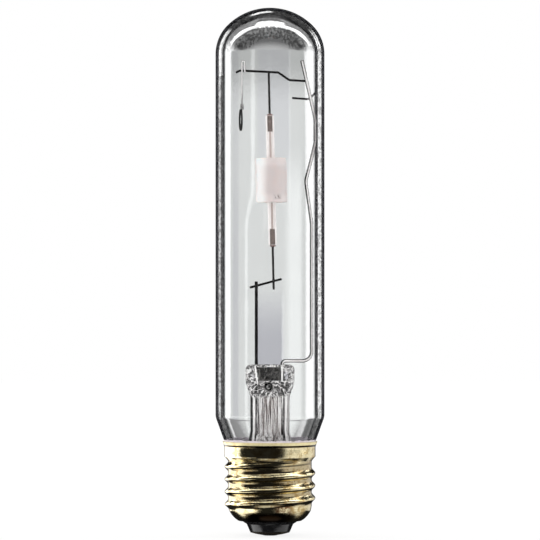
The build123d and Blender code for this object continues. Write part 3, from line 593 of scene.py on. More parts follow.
# Painted shade: the cup darker towards its bottom, in streaks, and across its middle near the mouth.
cup_low_shade = height.step(8.8, 5.5) * roll_lines.step(0.3, 0.6)
mouth_middle_shade = height.step(7.4, 6.2) * x_place.band(-6.0, 4.0, 1.2)
dark_lines = 0.92 * crest_shade_line + lip_shade_line + 0.7 * cup_low_shade + 0.95 * mouth_middle_shade
lined = dark_lines.blend(reddened, (0.02, 0.01, 0.004))
# Painted reflection: the top of the lip is paler and less metallic, for the bright floor it would mirror.
lip = height.step(26.4, 26.55)
end_finish(place, {
    "Base Color": (0.5 * lip).blend(lined, (0.95, 0.84, 0.42)),
    "Metallic": 1.0 - 0.75 * lip,
    "Roughness": 0.06 + 0.1 * stain + 0.08 * roll_lines + 0.06 * root + 0.2 * lip,
    "Normal": (0.5 * roll_lines + place.cloud(1.8, 4.0, 0.6)).relief(0.06),
})
print("finish:", brass.name)

# %% [markdown]
# The shell is one sheet: a mouth that grips the black glass, a rounded cup, the rolled thread, a plain
# skirt and a lip that flares over the cement. It is turned like the bulb. The thread can't come from
# a spin with a rise, because its ridge fades in from the cup and out into the skirt, so the turned
# sheet gets fine rings there and each vertex is pushed out by its place on the helix. Then the sheet
# gets its thickness inwards.

# %% Screw shell
sheet_t = 0.35
thread_root_r = 12.1
thread_depth = 1.05
thread_start = 7.3
thread_full = 9.3
thread_end = 21.6
run_out_low = 20.1
skirt_r = 13.2
skirt_bottom = 22.9
skirt_top = 25.75
cup_r = 11.86
cup_top = 8.2
cup_round = 6.63
cup_centre_r = 5.8
cup_centre_z = 9.98
mouth_r = 9.2
crest_sharpness = 1.45


def soft_step(value, low, high):
    """Rises from nought to one between two values, with no corner at either end."""
    share = min(max((value - low) / (high - low), 0.0), 1.0)
    return share * share * (3 - 2 * share)


def thread_height(x, y, z):
    """How high the rolled ridge stands at a point of the shell, from nought to one."""
    turns = (z - first_crest) / thread_pitch - math.atan2(y, x) / math.tau
    wave = 0.5 + 0.5 * math.cos(math.tau * turns)
    whole = z - thread_pitch * (turns - round(turns))
    run_in = soft_step(whole, thread_start, thread_full)
    run_out = soft_step(-whole, -thread_end, -run_out_low)
    return run_in * run_out * wave ** crest_sharpness


mouth_z = cup_centre_z - math.sqrt(cup_round ** 2 - (mouth_r - cup_centre_r) ** 2)
cup_low = math.degrees(math.atan2(mouth_r - cup_centre_r, cup_centre_z - mouth_z))
cup_high = math.degrees(math.asin((cup_r - cup_centre_r) / cup_round))
shell = Section(mouth_r - 0.5, mouth_z + 0.45)
shell.lines((mouth_r - 0.1, mouth_z + 0.03, 2), (mouth_r, mouth_z))
shell.arc(cup_centre_r, cup_centre_z, cup_low - cup_high, 14)
shell.lines(
    (thread_root_r, cup_top + 0.4, 6),
    (thread_root_r, thread_end, 92),
    (skirt_r, skirt_bottom, 10),
    (skirt_r, skirt_top, 4),
    (skirt_r + 0.06, skirt_top + 0.12),
    (lip_r - 0.06, shell_top - 0.12, 4),
    (lip_r - 0.02, shell_top - 0.04),
)
shell_mesh = shell.turned(220)
for vertex in shell_mesh.verts:
    spread = vertex.co.xy.length
    ridge = min(spread, thread_root_r) + thread_depth * thread_height(*vertex.co)
    vertex.co.xy *= max(spread, ridge) / spread
outside = max(shell_mesh.faces, key=lambda face: face.calc_center_median().xy.length)
if outside.normal.dot(outside.calc_center_median()) < 0:
    bmesh.ops.reverse_faces(shell_mesh, faces=shell_mesh.faces)
bmesh.ops.solidify(shell_mesh, geom=shell_mesh.faces, thickness=sheet_t)
card_lit.objects.link(make_piece("shell", shell_mesh, brass, "brass", "screw_shell", corner=44))

# %% [markdown]
# The end of the base is pressed black glass, glossy, with faint ripples from the mould, so the shader
# has a hard coat over an almost black body. The contact is handled, scuffed metal, and its colour is
# kept dark, brown to near black, as painted shade. Solder, and many small things later on, need no
# more than two colours in lumps, which one function makes.


# %% Black glass and contact finishes
def mottled_finish(name, size, colours, rough, height, sockets, detail=3.0, stretch=(1.0, 1.0, 1.0)):
    """Two colours in lumps of a size; rough is the least roughness and how much the lumps add."""
    finish, place = new_finish(name)
    lumps = place.stretch(*stretch).cloud(size, detail)
    end_finish(place, {
        "Base Color": lumps.blend(*colours),
        "Roughness": rough[0] + rough[1] * lumps,
        "Normal": lumps.relief(height),
        **sockets,
    })
    print("finish:", finish.name)
    return finish


black_glass, place = new_finish("black_glass")
flow = place.cloud(2.4, 3.0)
dust = place.cloud(0.35, 2.0).step(0.62, 0.8)
end_finish(place, {
    "Base Color": dust.blend((0.012, 0.012, 0.013), (0.05, 0.048, 0.045)),
    "Roughness": 0.12 + 0.25 * dust + 0.1 * flow,
    "Coat Weight": 0.2,
    "Normal": flow.relief(0.05),
})
contact_metal, place = new_finish("contact_metal")
handled = place.cloud(1.1, 4.0)
scuff = place.stretch(6.0, 0.5, 1.0).cloud(1.5, 3.0).step(0.55, 0.75)
# Painted shade: the contact's colour is kept dark, brown to near black.
end_finish(place, {
    "Base Color": handled.blend((0.16, 0.13, 0.09), (0.05, 0.045, 0.04)),
    "Metallic": 0.9,
    "Roughness": 0.32 + 0.25 * handled - 0.1 * scuff,
    "Normal": (handled + scuff).relief(0.03),
})
print("finishes:", black_glass.name, contact_metal.name)
solder_greys = ((0.34, 0.34, 0.35), (0.16, 0.16, 0.17))
solder = mottled_finish("solder", 0.8, solder_greys, (0.3, 0.2), 0.08, {"Metallic": 0.9})

# %% [markdown]
# The black glass fills the mouth of the shell and carries the contact, a domed plate with a hole for
# the lead and its solder. Both are turned with broken edges. The dome of the contact is drawn as a
# straight run first, and its vertices are then set on the sphere.

# %% Base insulator and centre contact
insulator_low, insulator_high = box("base_insulator")
contact_low, contact_high = box("centre_contact")
lead_hole_r = 0.8
tip_r = 7.0
tip_z = 3.46
waist_r = 6.4
waist_z = 2.5
seat_r = 5.95
seat_round = 0.3
floor_z = insulator_low.z + 0.4
inner_top_r = insulator_high.x - 1.2
insulator = Section(0, insulator_low.z)
insulator.line(seat_r - seat_round, insulator_low.z, 3)
insulator.arc(seat_r - seat_round, insulator_low.z + seat_round, -80, 6)
insulator.lines(
    (waist_r, waist_z, 3),
    (tip_r - 0.2, tip_z - 0.1, 3),
    (tip_r + 0.1, tip_z + 0.05),
    (mouth_r - 0.52, mouth_z + 0.25, 4),
    (mouth_r - 0.55, mouth_z + 0.6),
    (inner_top_r, insulator_high.z - 1.2, 4),
    (inner_top_r, insulator_high.z),
    (lead_hole_r, insulator_high.z),
    (lead_hole_r, floor_z),
    (0, floor_z),
)
black_end = make_piece("insulator", insulator.turned(160), black_glass, "black_glass", "base_insulator")
card_lit.objects.link(black_end)

contact_r = contact_high.x
contact_dome = 18.9
contact_round = 0.12
solder_r = 2.3


def dome_z(r):
    """Height of the domed face of the contact at a radius."""
    return contact_dome - math.sqrt(contact_dome ** 2 - r ** 2)


contact = Section(lead_hole_r, contact_high.z)
contact.line(contact_r - contact_round, contact_high.z, 4)
contact.arc(contact_r - contact_round, contact_high.z - contact_round, 90, 5)
contact.lines(
    (contact_r, dome_z(contact_r) + 0.02),
    (solder_r, dome_z(solder_r) + 0.01, 8),
    (lead_hole_r, contact_low.z + 0.01, 2),
    (lead_hole_r, contact_high.z),
)
for vertex in contact.mesh.verts:
    if solder_r < vertex.co.x < contact_r - 0.01 and vertex.co.z < contact_high.z - 0.2:
        vertex.co.z = dome_z(vertex.co.x)
make_piece("contact", contact.turned(128), contact_metal, "contact_metal", "centre_contact")
dress(solder, "contact_solder")

# %% [markdown]
# The bulb is set in the base with a baked cement. A thin uneven line of it shows above the lip, pale
# with a cool cast. It is turned as a ring, and its top is pushed up and down a little by noise, as a
# paste that was wiped and fired.

# %% Cement
cement, place = new_finish("basing_cement")
grain = place.cloud(0.5, 5.0, 0.7)
cast = place.cloud(3.0, 2.0)
end_finish(place, {
    "Base Color": cast.blend((0.93, 0.88, 0.94), (0.82, 0.74, 0.82)),
    "Roughness": 0.75 + 0.2 * grain,
    "Normal": grain.relief(0.1),
})


def cone_r(z):
    """Radius at a height of a ring that just clears the outside of the glass cone."""
    return neck_r + (z - neck_top) * cone_slope + 0.02


cement_foot = box("base_cement")[0].z
cement_r = skirt_r - sheet_t - 0.02
bead_r = lip_r - sheet_t - 0.04
bead_top = shell_top + 0.6
paste_lump = 1.1
paste_height = 0.3
paste = Section(cone_r(cement_foot), cement_foot)
paste.lines(
    (cement_r, cement_foot, 2),
    (cement_r, skirt_top, 3),
    (bead_r - 0.1, shell_top - 0.2, 3),
    (bead_r - 0.02, shell_top + 0.1, 2),
    (bead_r - 0.1, bead_top - 0.12, 2),
    (cone_r(bead_top), bead_top, 3),
    (cone_r(cement_foot), cement_foot, 4),
)
paste_mesh = paste.turned(180)
for vertex in paste_mesh.verts:
    if vertex.co.z > shell_top - 0.3:
        vertex.co.z += paste_height * noise.noise(vertex.co / paste_lump)
make_piece("cement", paste_mesh, cement, "cement", "base_cement")

# %% [markdown]
# The stem is soft glass that was heated and pressed flat round its wires. It could be clear glass with
# a strong relief, but then its folds show only where they happen to catch a light. So painted shade and
# painted highlights are drawn by noise and by place: dark lines over the press, a dark ring round the
# blow hole, a dark mottled window, dark edges and dark stripes, and pale lines along the folds and round
# the window, with pale streaks and a pale band along the tube. A rough shader is mixed in along them,
# because a dark tint in clear glass would be lost under its reflections.

# %% Stem glass finish
hole_x = -0.4
hole_z = 43.2
lean_z = 45.0
stem_glass, place = new_finish("stem_glass")
tool_marks = place.cloud(1.1, 4.0, 0.6)
streaks = place.stretch(3.2, 3.2, 0.12).cloud(1.0, 3.0, 0.6)
facing = place.node("LayerWeight", {}, {"Blend": 0.5}, 1)
x_place = place.part(0)
z_place = place.part(2)
lean = x_place + 0.14 * (z_place - lean_z)
in_press = z_place.step(40.2, 40.9)
in_tube = (1.0 - in_press) * abs(x_place).step(3.0, 3.4)
# Painted shade: dark edges along the tube and its bore, and round the press.
tube_edge = facing.step(0.5, 0.55) * x_place.step(1.0, -1.0, 0.45)
bore_edge = facing.band(0.26, 0.33, 0.015)
painted_dark_rim = in_press * facing.step(0.72, 0.84) + in_tube * (tube_edge + bore_edge)
# Painted shade: the window of the press, dark in mottles.
window = lean.step(-3.4, -3.2) * x_place.step(3.2, 3.0) * z_place.band(44.9, 48.8, 0.12)
window_mottle = place.cloud(0.7, 4.0, 0.7).step(0.35, 0.65)
from_hole = (x_place - hole_x) ** 2.0 + (z_place - hole_z) ** 2.0
# Painted shade: a dark ring round the blow hole, and dark lines over the press.
hole_ring = from_hole.band(0.5, 1.5, 0.2)
shade_lines = abs(place.cloud(1.7, 2.0) - 0.5).step(0.06, 0.03) * in_press * (1.0 - window) + hole_ring
# Painted shade: dark stripes along the tube.
stripes = streaks.step(0.55, 0.61) * (1.0 - in_press)
clear = tool_marks.blend((1.0, 0.99, 0.985), (0.97, 0.95, 0.945))
striped = stripes.blend(clear, (0.34, 0.30, 0.29))
shade_lined = shade_lines.blend(striped, (0.05, 0.045, 0.045))
window_shaded = window.blend(shade_lined, window_mottle.blend((0.02, 0.02, 0.02), (0.3, 0.29, 0.28)))
glass = place.node("BsdfPrincipled", {}, {
    "Base Color": window_shaded,
    "Roughness": tool_marks.step(0.5, 0.8, 0.0, 0.03),
    "IOR": 1.12,
    "Specular IOR Level": 0.5,
    "Transmission Weight": 1.0,
    "Normal": (0.5 * tool_marks + streaks).relief(0.1),
})
# Painted highlight: pale edges round the window and pale lines along the folds of the press.
window_edge = lean.band(-3.9, -3.5, 0.1) + x_place.band(3.25, 3.65, 0.1)
outline = window_edge * z_place.band(44.6, 49.0, 0.15)
folds = abs(place.stretch(1.0, 1.0, 1.2).cloud(1.8, 2.0) - 0.47).step(0.04, 0.02)
fold_highlights = folds * in_press * (1.0 - window) * (1.0 - hole_ring)
dark_marks = (0.9 * shade_lines + painted_dark_rim) * (1.0 - outline) * (1.0 - fold_highlights)
pale_mark_colour = tool_marks.blend((1.0, 0.99, 0.98), (0.95, 0.93, 0.92))
dark_mark_colour = (window * window_mottle).blend((0.003, 0.003, 0.003), (0.13, 0.126, 0.12))
drawn_on = (dark_marks + window).blend(pale_mark_colour, dark_mark_colour)
painted_marks = place.node(
    "BsdfPrincipled", {}, {"Base Color": drawn_on, "Roughness": 0.4, "Specular IOR Level": 0.1}
)
# Painted highlight: pale streaks along the tube and a pale band near its walls.
wall_band = facing.band(0.35, 0.48, 0.03)
pale_streaks = (streaks.step(0.5, 0.44) + wall_band) * (1.0 - in_press)
painted_mark_share = outline + 0.75 * pale_streaks + 0.85 * fold_highlights + 0.85 * dark_marks + 0.6 * window
pressed_glass = place.node("MixShader", {}, {0: painted_mark_share, 1: glass, 2: painted_marks})
place.node("OutputMaterial", {}, {"Surface": pressed_glass})
print("finish:", stem_glass.name)

# %% [markdown]
# The stem starts as a flared tube. Its upper end is pinched into a flat press that holds the wires,
# with a sunk window between them on either side, and a small hole was blown through below the press
# to empty the bulb. Turned first and then pressed by moving its vertices, it is made in the same
# order as the real one.

# %% Stem
press_top = stem_high.z
stem_r = 5.7
stem_bore_r = 4.8
flare_top = 30.5
flare_rim = 14.2
flare_r = neck_bore_r - 0.05
flare_bore_r = neck_bore_r - 0.95
press_start = 39.6
press_full = 45.2
press_half_w = 7.1
press_half_t = 2.9
press_corner = 1.4
bore_top = 40.8
bore_round = 1.4
vent_r = 1.4
vent_top = 43.9
window_left = -3.3
window_right = 2.8
window_low = 44.9
window_high = 48.6
window_depth = 0.9
blow_hole_z = 42.8
blow_hole_r = 0.95
blow_hole_depth = 2.2
lump_size = 0.9
lump_height = 0.22
lump_start = 41.1
calm_low = 44.0
calm_high = 45.0
stem = Section(0, press_top)
stem.line(stem_r - press_corner, press_top, 12)
stem.arc(stem_r - press_corner, press_top - press_corner, 90, 8)
stem.lines(
    (stem_r, press_start, 44),
    (stem_r, flare_top, 8),
    (flare_r, flare_rim, 8),
    (flare_r, stem_low.z),
    (flare_bore_r, stem_low.z),
    (flare_bore_r, flare_rim),
    (stem_bore_r, flare_top, 8),
    (stem_bore_r, bore_top - bore_round, 6),
)
stem.arc(stem_bore_r - bore_round, bore_top - bore_round, -90, 6)
stem.lines(
    (vent_r, bore_top, 3), (vent_r, vent_top - 0.6, 6), (0.7, vent_top - 0.1, 2), (0, vent_top, 2)
)
stem_mesh = stem.turned(200)
window_middle = (window_left + window_right) / 2
window_half = (window_right - window_left) / 2
for vertex in stem_mesh.verts:
    x, y, z = vertex.co
    spread = math.hypot(x, y)
    inside = spread < stem_bore_r + 0.01 and z < vent_top + 0.01
    if z > press_start and not inside:
        pressed = soft_step(z, press_start, press_full)
        share = spread / stem_r
        side = math.cos(math.atan2(y, x))
        front = math.sin(math.atan2(y, x))
        flat_x = share * press_half_w * math.copysign(abs(side) ** 0.7, side)
        flat_y = share * press_half_t * math.copysign(abs(front) ** 0.55, front)
        x += pressed * (flat_x - x)
        y += pressed * (flat_y - y)
        in_window = soft_step(window_half - abs(x - window_middle), -0.1, 0.6)
        in_window *= soft_step(z, window_low - 0.3, window_low + 0.4)
        in_window *= soft_step(-z, -window_high - 0.3, -window_high + 0.4)
        if share > 0.9:
            y -= math.copysign(window_depth * in_window, y)
        if y < 0:
            away = math.hypot(x, z - blow_hole_z)
            y += blow_hole_depth * soft_step(-away, -1.25 * blow_hole_r, -0.75 * blow_hole_r)
        calm = 0.35 + 0.65 * soft_step(-z, -calm_high, -calm_low)
        rough = soft_step(z, press_start, lump_start) * calm
        lump = noise.noise(Vector((x, y, z)) / lump_size) * lump_height * rough * (1 - in_window)
        vertex.co = Vector((x, y, z)) + Vector((x, y, 0)).normalized() * lump
bmesh.ops.recalc_face_normals(stem_mesh, faces=stem_mesh.faces)
make_piece("stem", stem_mesh, stem_glass, "stem_glass", "glass_stem", corner=60)

# %% [markdown]
# Inside the stem runs the tube through which the air was pumped out. Below, it was closed in a flame,
# so it ends in a drawn tip.

# %% Exhaust tube
exhaust_low, exhaust_high = box("exhaust_tube")
exhaust_r = exhaust_high.x
exhaust_top = bore_top - 0.08
exhaust_bore_r = 1.4
tip_top = 19.0
exhaust = Section(exhaust_bore_r, exhaust_top)
exhaust.lines((exhaust_r, exhaust_top), (exhaust_r, tip_top, 10), (0.75, exhaust_low.z + 0.3, 5))
exhaust.arc(0, exhaust_low.z + 0.6, 70, 5)
exhaust.lines(
    (0, exhaust_low.z),
    (0, exhaust_low.z + 1.2),
    (exhaust_bore_r, tip_top + 0.3, 4),
    (exhaust_bore_r, exhaust_top, 10),
)
make_piece("exhaust", exhaust.turned(72), stem_glass, "stem_glass", "exhaust_tube")

# %% [markdown]
# The mount is made of stiff wire. Each wire is drawn straight and bent round a pin, and the mesh is
# made that way too: a circle is extruded along each straight run and spun about the centre of each
# bend. A curve with a round bevel would look the same but gives no control over the ends, which are
# cut and slightly rounded here.


# %% Bending wire
def bent_wire(corners, depth, diameter, bends, sides=24):
    """A wire in one upright plane, with a bend radius for each corner between its ends."""
    mesh = bmesh.new()
    points = [Vector((x, depth, z)) for x, z in corners]
    heading = (points[1] - points[0]).normalized()
    upright = heading.to_track_quat("Z", "Y").to_matrix().to_4x4()
    chamfer = 0.15 * diameter
    bmesh.ops.create_circle(
        mesh,
        segments=sides,
        radius=diameter / 2 - chamfer,
        matrix=Matrix.Translation(points[0]) @ upright,
        cap_ends=True,
    )
    ring = list(mesh.edges)

    def grow(step, scale=1.0):
        """Extrudes the open end of the wire along a step."""
        grown = bmesh.ops.extrude_edge_only(mesh, edges=ring)["geom"]
        ends = [part for part in grown if isinstance(part, bmesh.types.BMVert)]
        middle = sum((end.co for end in ends), Vector()) / len(ends)
        for end in ends:
            end.co = middle + step + (end.co - middle) * scale
        edges = [part for part in grown if isinstance(part, bmesh.types.BMEdge)]
        return [edge for edge in edges if all(end in ends for end in edge.verts)]

    full = diameter / (diameter - 2 * chamfer)
    ring = grow(heading * chamfer, full)
    place = points[0] + heading * chamfer
    for corner, after, bend in zip(points[1:-1], points[2:], bends):
        onward = (after - corner).normalized()
        angle = heading.angle(onward)
        start = corner - heading * bend * math.tan(angle / 2)
        ring = grow(start - place)
        sideways = (onward - heading * onward.dot(heading)).normalized()
        swung = bmesh.ops.spin(
            mesh,
            geom=ring,
            cent=start + sideways * bend,
            axis=heading.cross(onward),
            angle=angle,
            steps=max(4, round(math.degrees(angle) / 7)),
        )
        ring = [part for part in swung["geom_last"] if isinstance(part, bmesh.types.BMEdge)]
        heading = onward
        place = corner + onward * bend * math.tan(angle / 2)
    ring = grow(points[-1] - heading * chamfer - place)
    ring = grow(heading * chamfer, 1 / full)
    bmesh.ops.edgeloop_fill(mesh, edges=ring)
    return closed(mesh)


def make_wire(name, corners, depth, diameter, bends, finish, slot, node):
    """Bends a wire and makes it a piece."""
    make_piece(name, bent_wire(corners, depth, diameter, bends), finish, slot, node, corner=50)


print("wire bending is ready")

# %% [markdown]
# The frame and its cross wires are nickel or molybdenum wire, drawn through a die, darkened in the
# flame near the welds and bright elsewhere. Fine lines run along the wire, so the noise is stretched
# along the height. A round wire in a bright tent is pale in front and dark along its sides; here those
# dark sides are painted shade, set by the direction of the surface, and the lower frame gets more
# painted shade on its left. On the getter, above a height, the faces that look to the front and back
# are painted near white as a painted highlight.

# %% Wire finishes
frame_metal, place = new_finish("frame_wire_metal")
drawn = place.stretch(5.0, 5.0, 0.25).cloud(1.0, 3.0)
heat = place.cloud(9.0, 3.0).step(0.4, 0.65)
bright = heat.blend((1.0, 0.98, 0.97), (0.86, 0.82, 0.81))
# Painted shade: dark along the sides, and more on the left of the lower frame.
left_side_shade = place.node("TexCoord", {}, {}, "Normal").part(0).step(-0.05, -0.3)
side_shade = turned_away(place).step(0.1, 0.28) + left_side_shade * place.part(2).step(124.0, 100.0, 0.2)
end_finish(place, {
    "Base Color": side_shade.blend(bright, (0.006, 0.006, 0.006)),
    "Metallic": 0.1,
    "Roughness": 0.04 + 0.1 * drawn + 0.06 * heat,
    "Normal": drawn.relief(0.02),
})
getter_metal, place = new_finish("getter_metal")
flash = place.cloud(1.2, 3.0)
# Painted highlight: near white on faces that look to the front and back, above a height.
front_back_highlight = place.part(2).step(121.0, 129.0) * turned_away(place).step(0.3, 0.15)
dark = flash.blend((0.006, 0.006, 0.006), (0.03, 0.028, 0.028))
end_finish(place, {
    "Base Color": front_back_highlight.blend(dark, (0.95, 0.93, 0.92)),
    "Specular IOR Level": 0.3,
    "Roughness": 0.38 + 0.2 * flash,
    "Normal": flash.relief(0.04),
})
print("finishes:", frame_metal.name, getter_metal.name)
soot_greys = ((0.004, 0.004, 0.004), (0.02, 0.018, 0.018))
dark_metal = mottled_finish(
    "dark_wire_metal", 1.5, soot_greys, (0.35, 0.2), 0.02, {"Specular IOR Level": 0.15}, detail=4.0
)
strand_greys = ((0.05, 0.045, 0.05), (0.3, 0.26, 0.26))
lead_metal = mottled_finish(
    "lead_metal", 0.45, strand_greys, (0.4, 0.2), 0.12, {"Metallic": 0.8}, stretch=(1.0, 1.0, 0.7)
)

# %% [markdown]
# The frame wire leaves the press on the right, steps out to the wall and runs up along it, with a
# dogleg round the arc tube. The riser is a short straight wire on the left. Their places are the
# corners of the wire as it is bent, and their thickness comes from the CAD boxes.

# %% Frame and riser
frame_low, frame_high = box("frame_wire")
riser_low, riser_high = box("riser_wire")
frame_d = frame_high.y - frame_low.y
frame_y = (frame_high.y + frame_low.y) / 2
riser_d = riser_high.x - riser_low.x
riser_middle = (riser_high + riser_low) / 2
frame_corners = [
    (3.5, 44.8), (3.5, 50.6), (12.0, 50.6), (12.0, 90.5),
    (10.3, 102.6), (13.1, 113.6), (13.1, 120.6), (9.2, 137.6),
]
frame_bends = [1.0, 2.6, 6.0, 4.0, 5.0, 8.0]
make_wire("frame", frame_corners, frame_y, frame_d, frame_bends, frame_metal, "frame_metal", "frame_wire")
riser_ends = [(riser_middle.x, riser_low.z), (riser_middle.x, riser_high.z)]
make_wire("riser", riser_ends, riser_middle.y, riser_d, [], dark_metal, "frame_metal", "riser_wire")

# %% [markdown]
# Two thinner wires cross the mount and carry the arc tube, and a short springy one reaches from the
# frame to the wall of the bulb. They lie just in front of what they are welded to.

# %% Cross wires and wall spring
cross_d = 0.65
cross_y = -0.055
lower_ends = [(-5.9, 71.8), (3.4, 74.3)]
make_wire("lower_cross", lower_ends, cross_y, cross_d, [], dark_metal, "frame_metal", "lower_cross_wire")
upper_corners = [(-9.9, 134.1), (-8.7, 134.7), (2.4, 134.15), (5.6, 131.95), (10.98, 131.6)]
upper_bends = [1.2, 1.2, 1.2]
make_wire(
    "upper_cross", upper_corners, cross_y, cross_d, upper_bends, dark_metal, "frame_metal", "upper_cross_wire"
)
spring_d = 0.6
spring_y = -0.08
spring_corners = [(6.4, 126.75), (11.2, 126.4), (13.3, 128.2)]
make_wire("spring", spring_corners, spring_y, spring_d, [1.5], dark_metal, "frame_metal", "wall_spring")

# %% [markdown]
# The getter is a small ring-shaped trough of sheet steel filled with a dark metal that binds stray
# gas. It hangs on a hooked wire from the cross wire. The ring is turned from its trough section and
# then set on edge.

# %% Getter
getter_low, getter_high = box("getter_holder")
ring_low, ring_high = box("getter_ring")
getter_d = 0.5
getter_x = -8.1
getter_y = (getter_low.y + getter_high.y) / 2
hook_x = -7.3
hook_top = 137.4
hook_end_z = 134.2
hook_bend = 0.99 * (hook_x - getter_x) / 2
hook = [(getter_x, getter_low.z), (getter_x, hook_top), (hook_x, hook_top), (hook_x, hook_end_z)]
hook_bends = [hook_bend, hook_bend]
make_wire("getter_wire", hook, getter_y, getter_d, hook_bends, getter_metal, "getter_metal", "getter_holder")

ring_x = -8.5
ring_y = 0.02
ring_outer = 3.2
ring_bore = 2.6
ring_half = 0.25
ring_sheet = 0.16
ring_edge = 0.1
fill = 0.05
trough = Section(ring_bore + ring_sheet, fill)
trough.lines(
    (ring_bore + ring_sheet, ring_half),
    (ring_bore, ring_half),
    (ring_bore, -ring_half + ring_edge, 3),
    (ring_bore + ring_edge, -ring_half),
    (ring_outer - ring_edge, -ring_half, 2),
    (ring_outer, -ring_half + ring_edge),
    (ring_outer, ring_half, 3),
    (ring_outer - ring_sheet, ring_half),
    (ring_outer - ring_sheet, fill),
    ((ring_outer + ring_bore) / 2, fill + 0.1),
    (ring_bore + ring_sheet, fill),
)
ring_mesh = trough.turned(72)
ring_turn = math.radians(9)
ring_place = (
    Matrix.Translation((ring_x, ring_y, ring_low.z + ring_outer))
    @ Matrix.Rotation(ring_turn, 4, "Z")
    @ Matrix.Rotation(math.pi / 2, 4, "Y")
)
bmesh.ops.transform(ring_mesh, matrix=ring_place, verts=ring_mesh.verts)
tab_w = 1.0
tab_y = getter_y + 0.4
tab_low = 123.35
tab_place = Matrix.Translation((getter_x, tab_y, (tab_low + ring_high.z) / 2))
tab_size = Matrix.Diagonal((tab_w, ring_sheet, ring_high.z - tab_low, 1.0))
tab = bmesh.ops.create_cube(ring_mesh, size=1.0, matrix=tab_place @ tab_size)
tab_edges = {edge for corner in tab["verts"] for edge in corner.link_edges}
bmesh.ops.bevel(
    ring_mesh,
    geom=list(tab_edges),
    offset=0.06,
    segments=2,
    profile=0.5,
    affect="EDGES",
    material=-1,
)
make_piece("getter", ring_mesh, getter_metal, "getter_metal", "getter_ring")

# %% [markdown]
# The arc tube is sintered alumina: white, slightly pink in this light, and so translucent that what
# is inside shows faintly. The thick barrel scatters light under its skin, with the dose as dark
# specks low on the front, and a painted highlight makes its left side lighter, and its right a little.
# In the thin legs the lead shows as a brown stripe. It could be left to a cloudy glass shader, but
# that is slow and noisy, so the direction of the surface draws the stripe.

# %% Ceramic finishes
arc_middle = Vector((0.35, 0.615, 102.9))
ceramic, place = new_finish("arc_ceramic")
grain = place.cloud(0.25, 3.0)
shade = place.cloud(3.5, 2.0)
x_place = place.part(0)
z_place = place.part(2)
# Painted highlight: lighter in a strip on the left, and a little on the right.
painted_sheen = x_place.step(0.0, -3.3) * x_place.step(-4.5, -3.4) + 0.3 * x_place.step(0.5, 4.5)
thick_ends = abs(z_place - arc_middle.z).step(3.4, 5.0)
body = shade.blend((0.70, 0.63, 0.62), (0.64, 0.57, 0.56))
lighter = (painted_sheen + 0.25 * thick_ends).blend(body, (1.0, 0.94, 0.92))
dose_place = x_place.band(0.9, 3.3, 0.4) * z_place.band(97.3, 98.9, 0.4) * place.part(1).step(0.6, 0.2)
dose_specks = dose_place * place.cloud(0.3, 1.0).step(0.56, 0.62)
end_finish(place, {
    "Base Color": dose_specks.blend(lighter, (0.10, 0.06, 0.05)),
    "Roughness": 0.3 + 0.1 * grain,
    "IOR": 1.5,
    "Subsurface Weight": 1.0,
    "Subsurface Radius": (1.0, 0.8, 0.75),
    "Subsurface Scale": 0.3 * mm,
    "Normal": grain.relief(0.01),
})
leg_ceramic, place = new_finish("leg_ceramic")
cloudy = place.cloud(0.8, 3.0)
sideways = turned_away(place)
from_middle = abs(place.part(2) - arc_middle.z)
core = sideways.step(0.26, 0.14)
rod_line = sideways.step(0.06, 0.02) + 0.6 * sideways.band(0.12, 0.2, 0.03)
sealed_end = from_middle.step(13.9, 14.3)
pale = cloudy.blend((1.0, 0.96, 0.95), (0.92, 0.87, 0.85))
lined = (0.85 * rod_line).blend(pale, (0.42, 0.33, 0.30))
packed = place.cloud(0.5, 3.0).blend((0.08, 0.06, 0.055), (0.26, 0.20, 0.18))
end_finish(place, {
    "Base Color": (core * sealed_end).blend(lined, packed),
    "Roughness": 0.2 + 0.12 * cloudy,
    "IOR": 1.5,
    "Normal": cloudy.relief(0.01),
})
print("finishes:", ceramic.name, leg_ceramic.name)

# %% [markdown]
# The seals at the ends of the legs are fused glass, brown and uneven. The leads are dark drawn metal,
# the rods inside are stained, and the dose is a few dark crystals. Lumps of two colours do for all.

# %% Seal, lead and dose finishes
frit_browns = ((0.16, 0.08, 0.07), (0.34, 0.22, 0.20))
frit = mottled_finish("sealing_frit", 0.7, frit_browns, (0.22, 0.2), 0.06, {})
rod_greys = ((0.03, 0.028, 0.028), (0.008, 0.007, 0.007))
rod_metal = mottled_finish(
    "arc_lead_metal", 0.8, rod_greys, (0.28, 0.15), 0.02, {"Specular IOR Level": 0.3}, stretch=(4.0, 4.0, 0.3)
)
inner_browns = ((0.20, 0.12, 0.09), (0.09, 0.06, 0.05))
inner_metal = mottled_finish("inner_rod_metal", 0.5, inner_browns, (0.4, 0.2), 0.0, {"Metallic": 0.6})
salt_browns = ((0.08, 0.05, 0.04), (0.25, 0.16, 0.11))
halide = mottled_finish("halide_salt", 0.3, salt_browns, (0.35, 0.3), 0.05, {}, detail=4.0)

# %% [markdown]
# The barrel, its two end plugs and the thin legs are separate pieces of ceramic that were sintered
# together. They share one axis, which leans a little in the bulb, so all are turned upright and then
# tilted together. Each lower piece is the upper one upside down.

# %% Arc tube
arc_tilt = math.radians(-1.31)
arc_place = Matrix.Translation(arc_middle) @ Matrix.Rotation(arc_tilt, 4, "Y")
upside_down = Matrix.Rotation(math.pi, 4, "X")
barrel_r = 4.575
barrel_bore = 3.65
barrel_half = 6.5
barrel_round = 0.5
plug_low = 4.25
plug_high = 6.25
leg_r = 1.25
leg_bore = 0.5
leg_start = plug_low - 0.05
leg_end = 18.8
leg_round = 0.2
frit_start = 14.1
rod_hole_r = 0.33
gap = 0.02


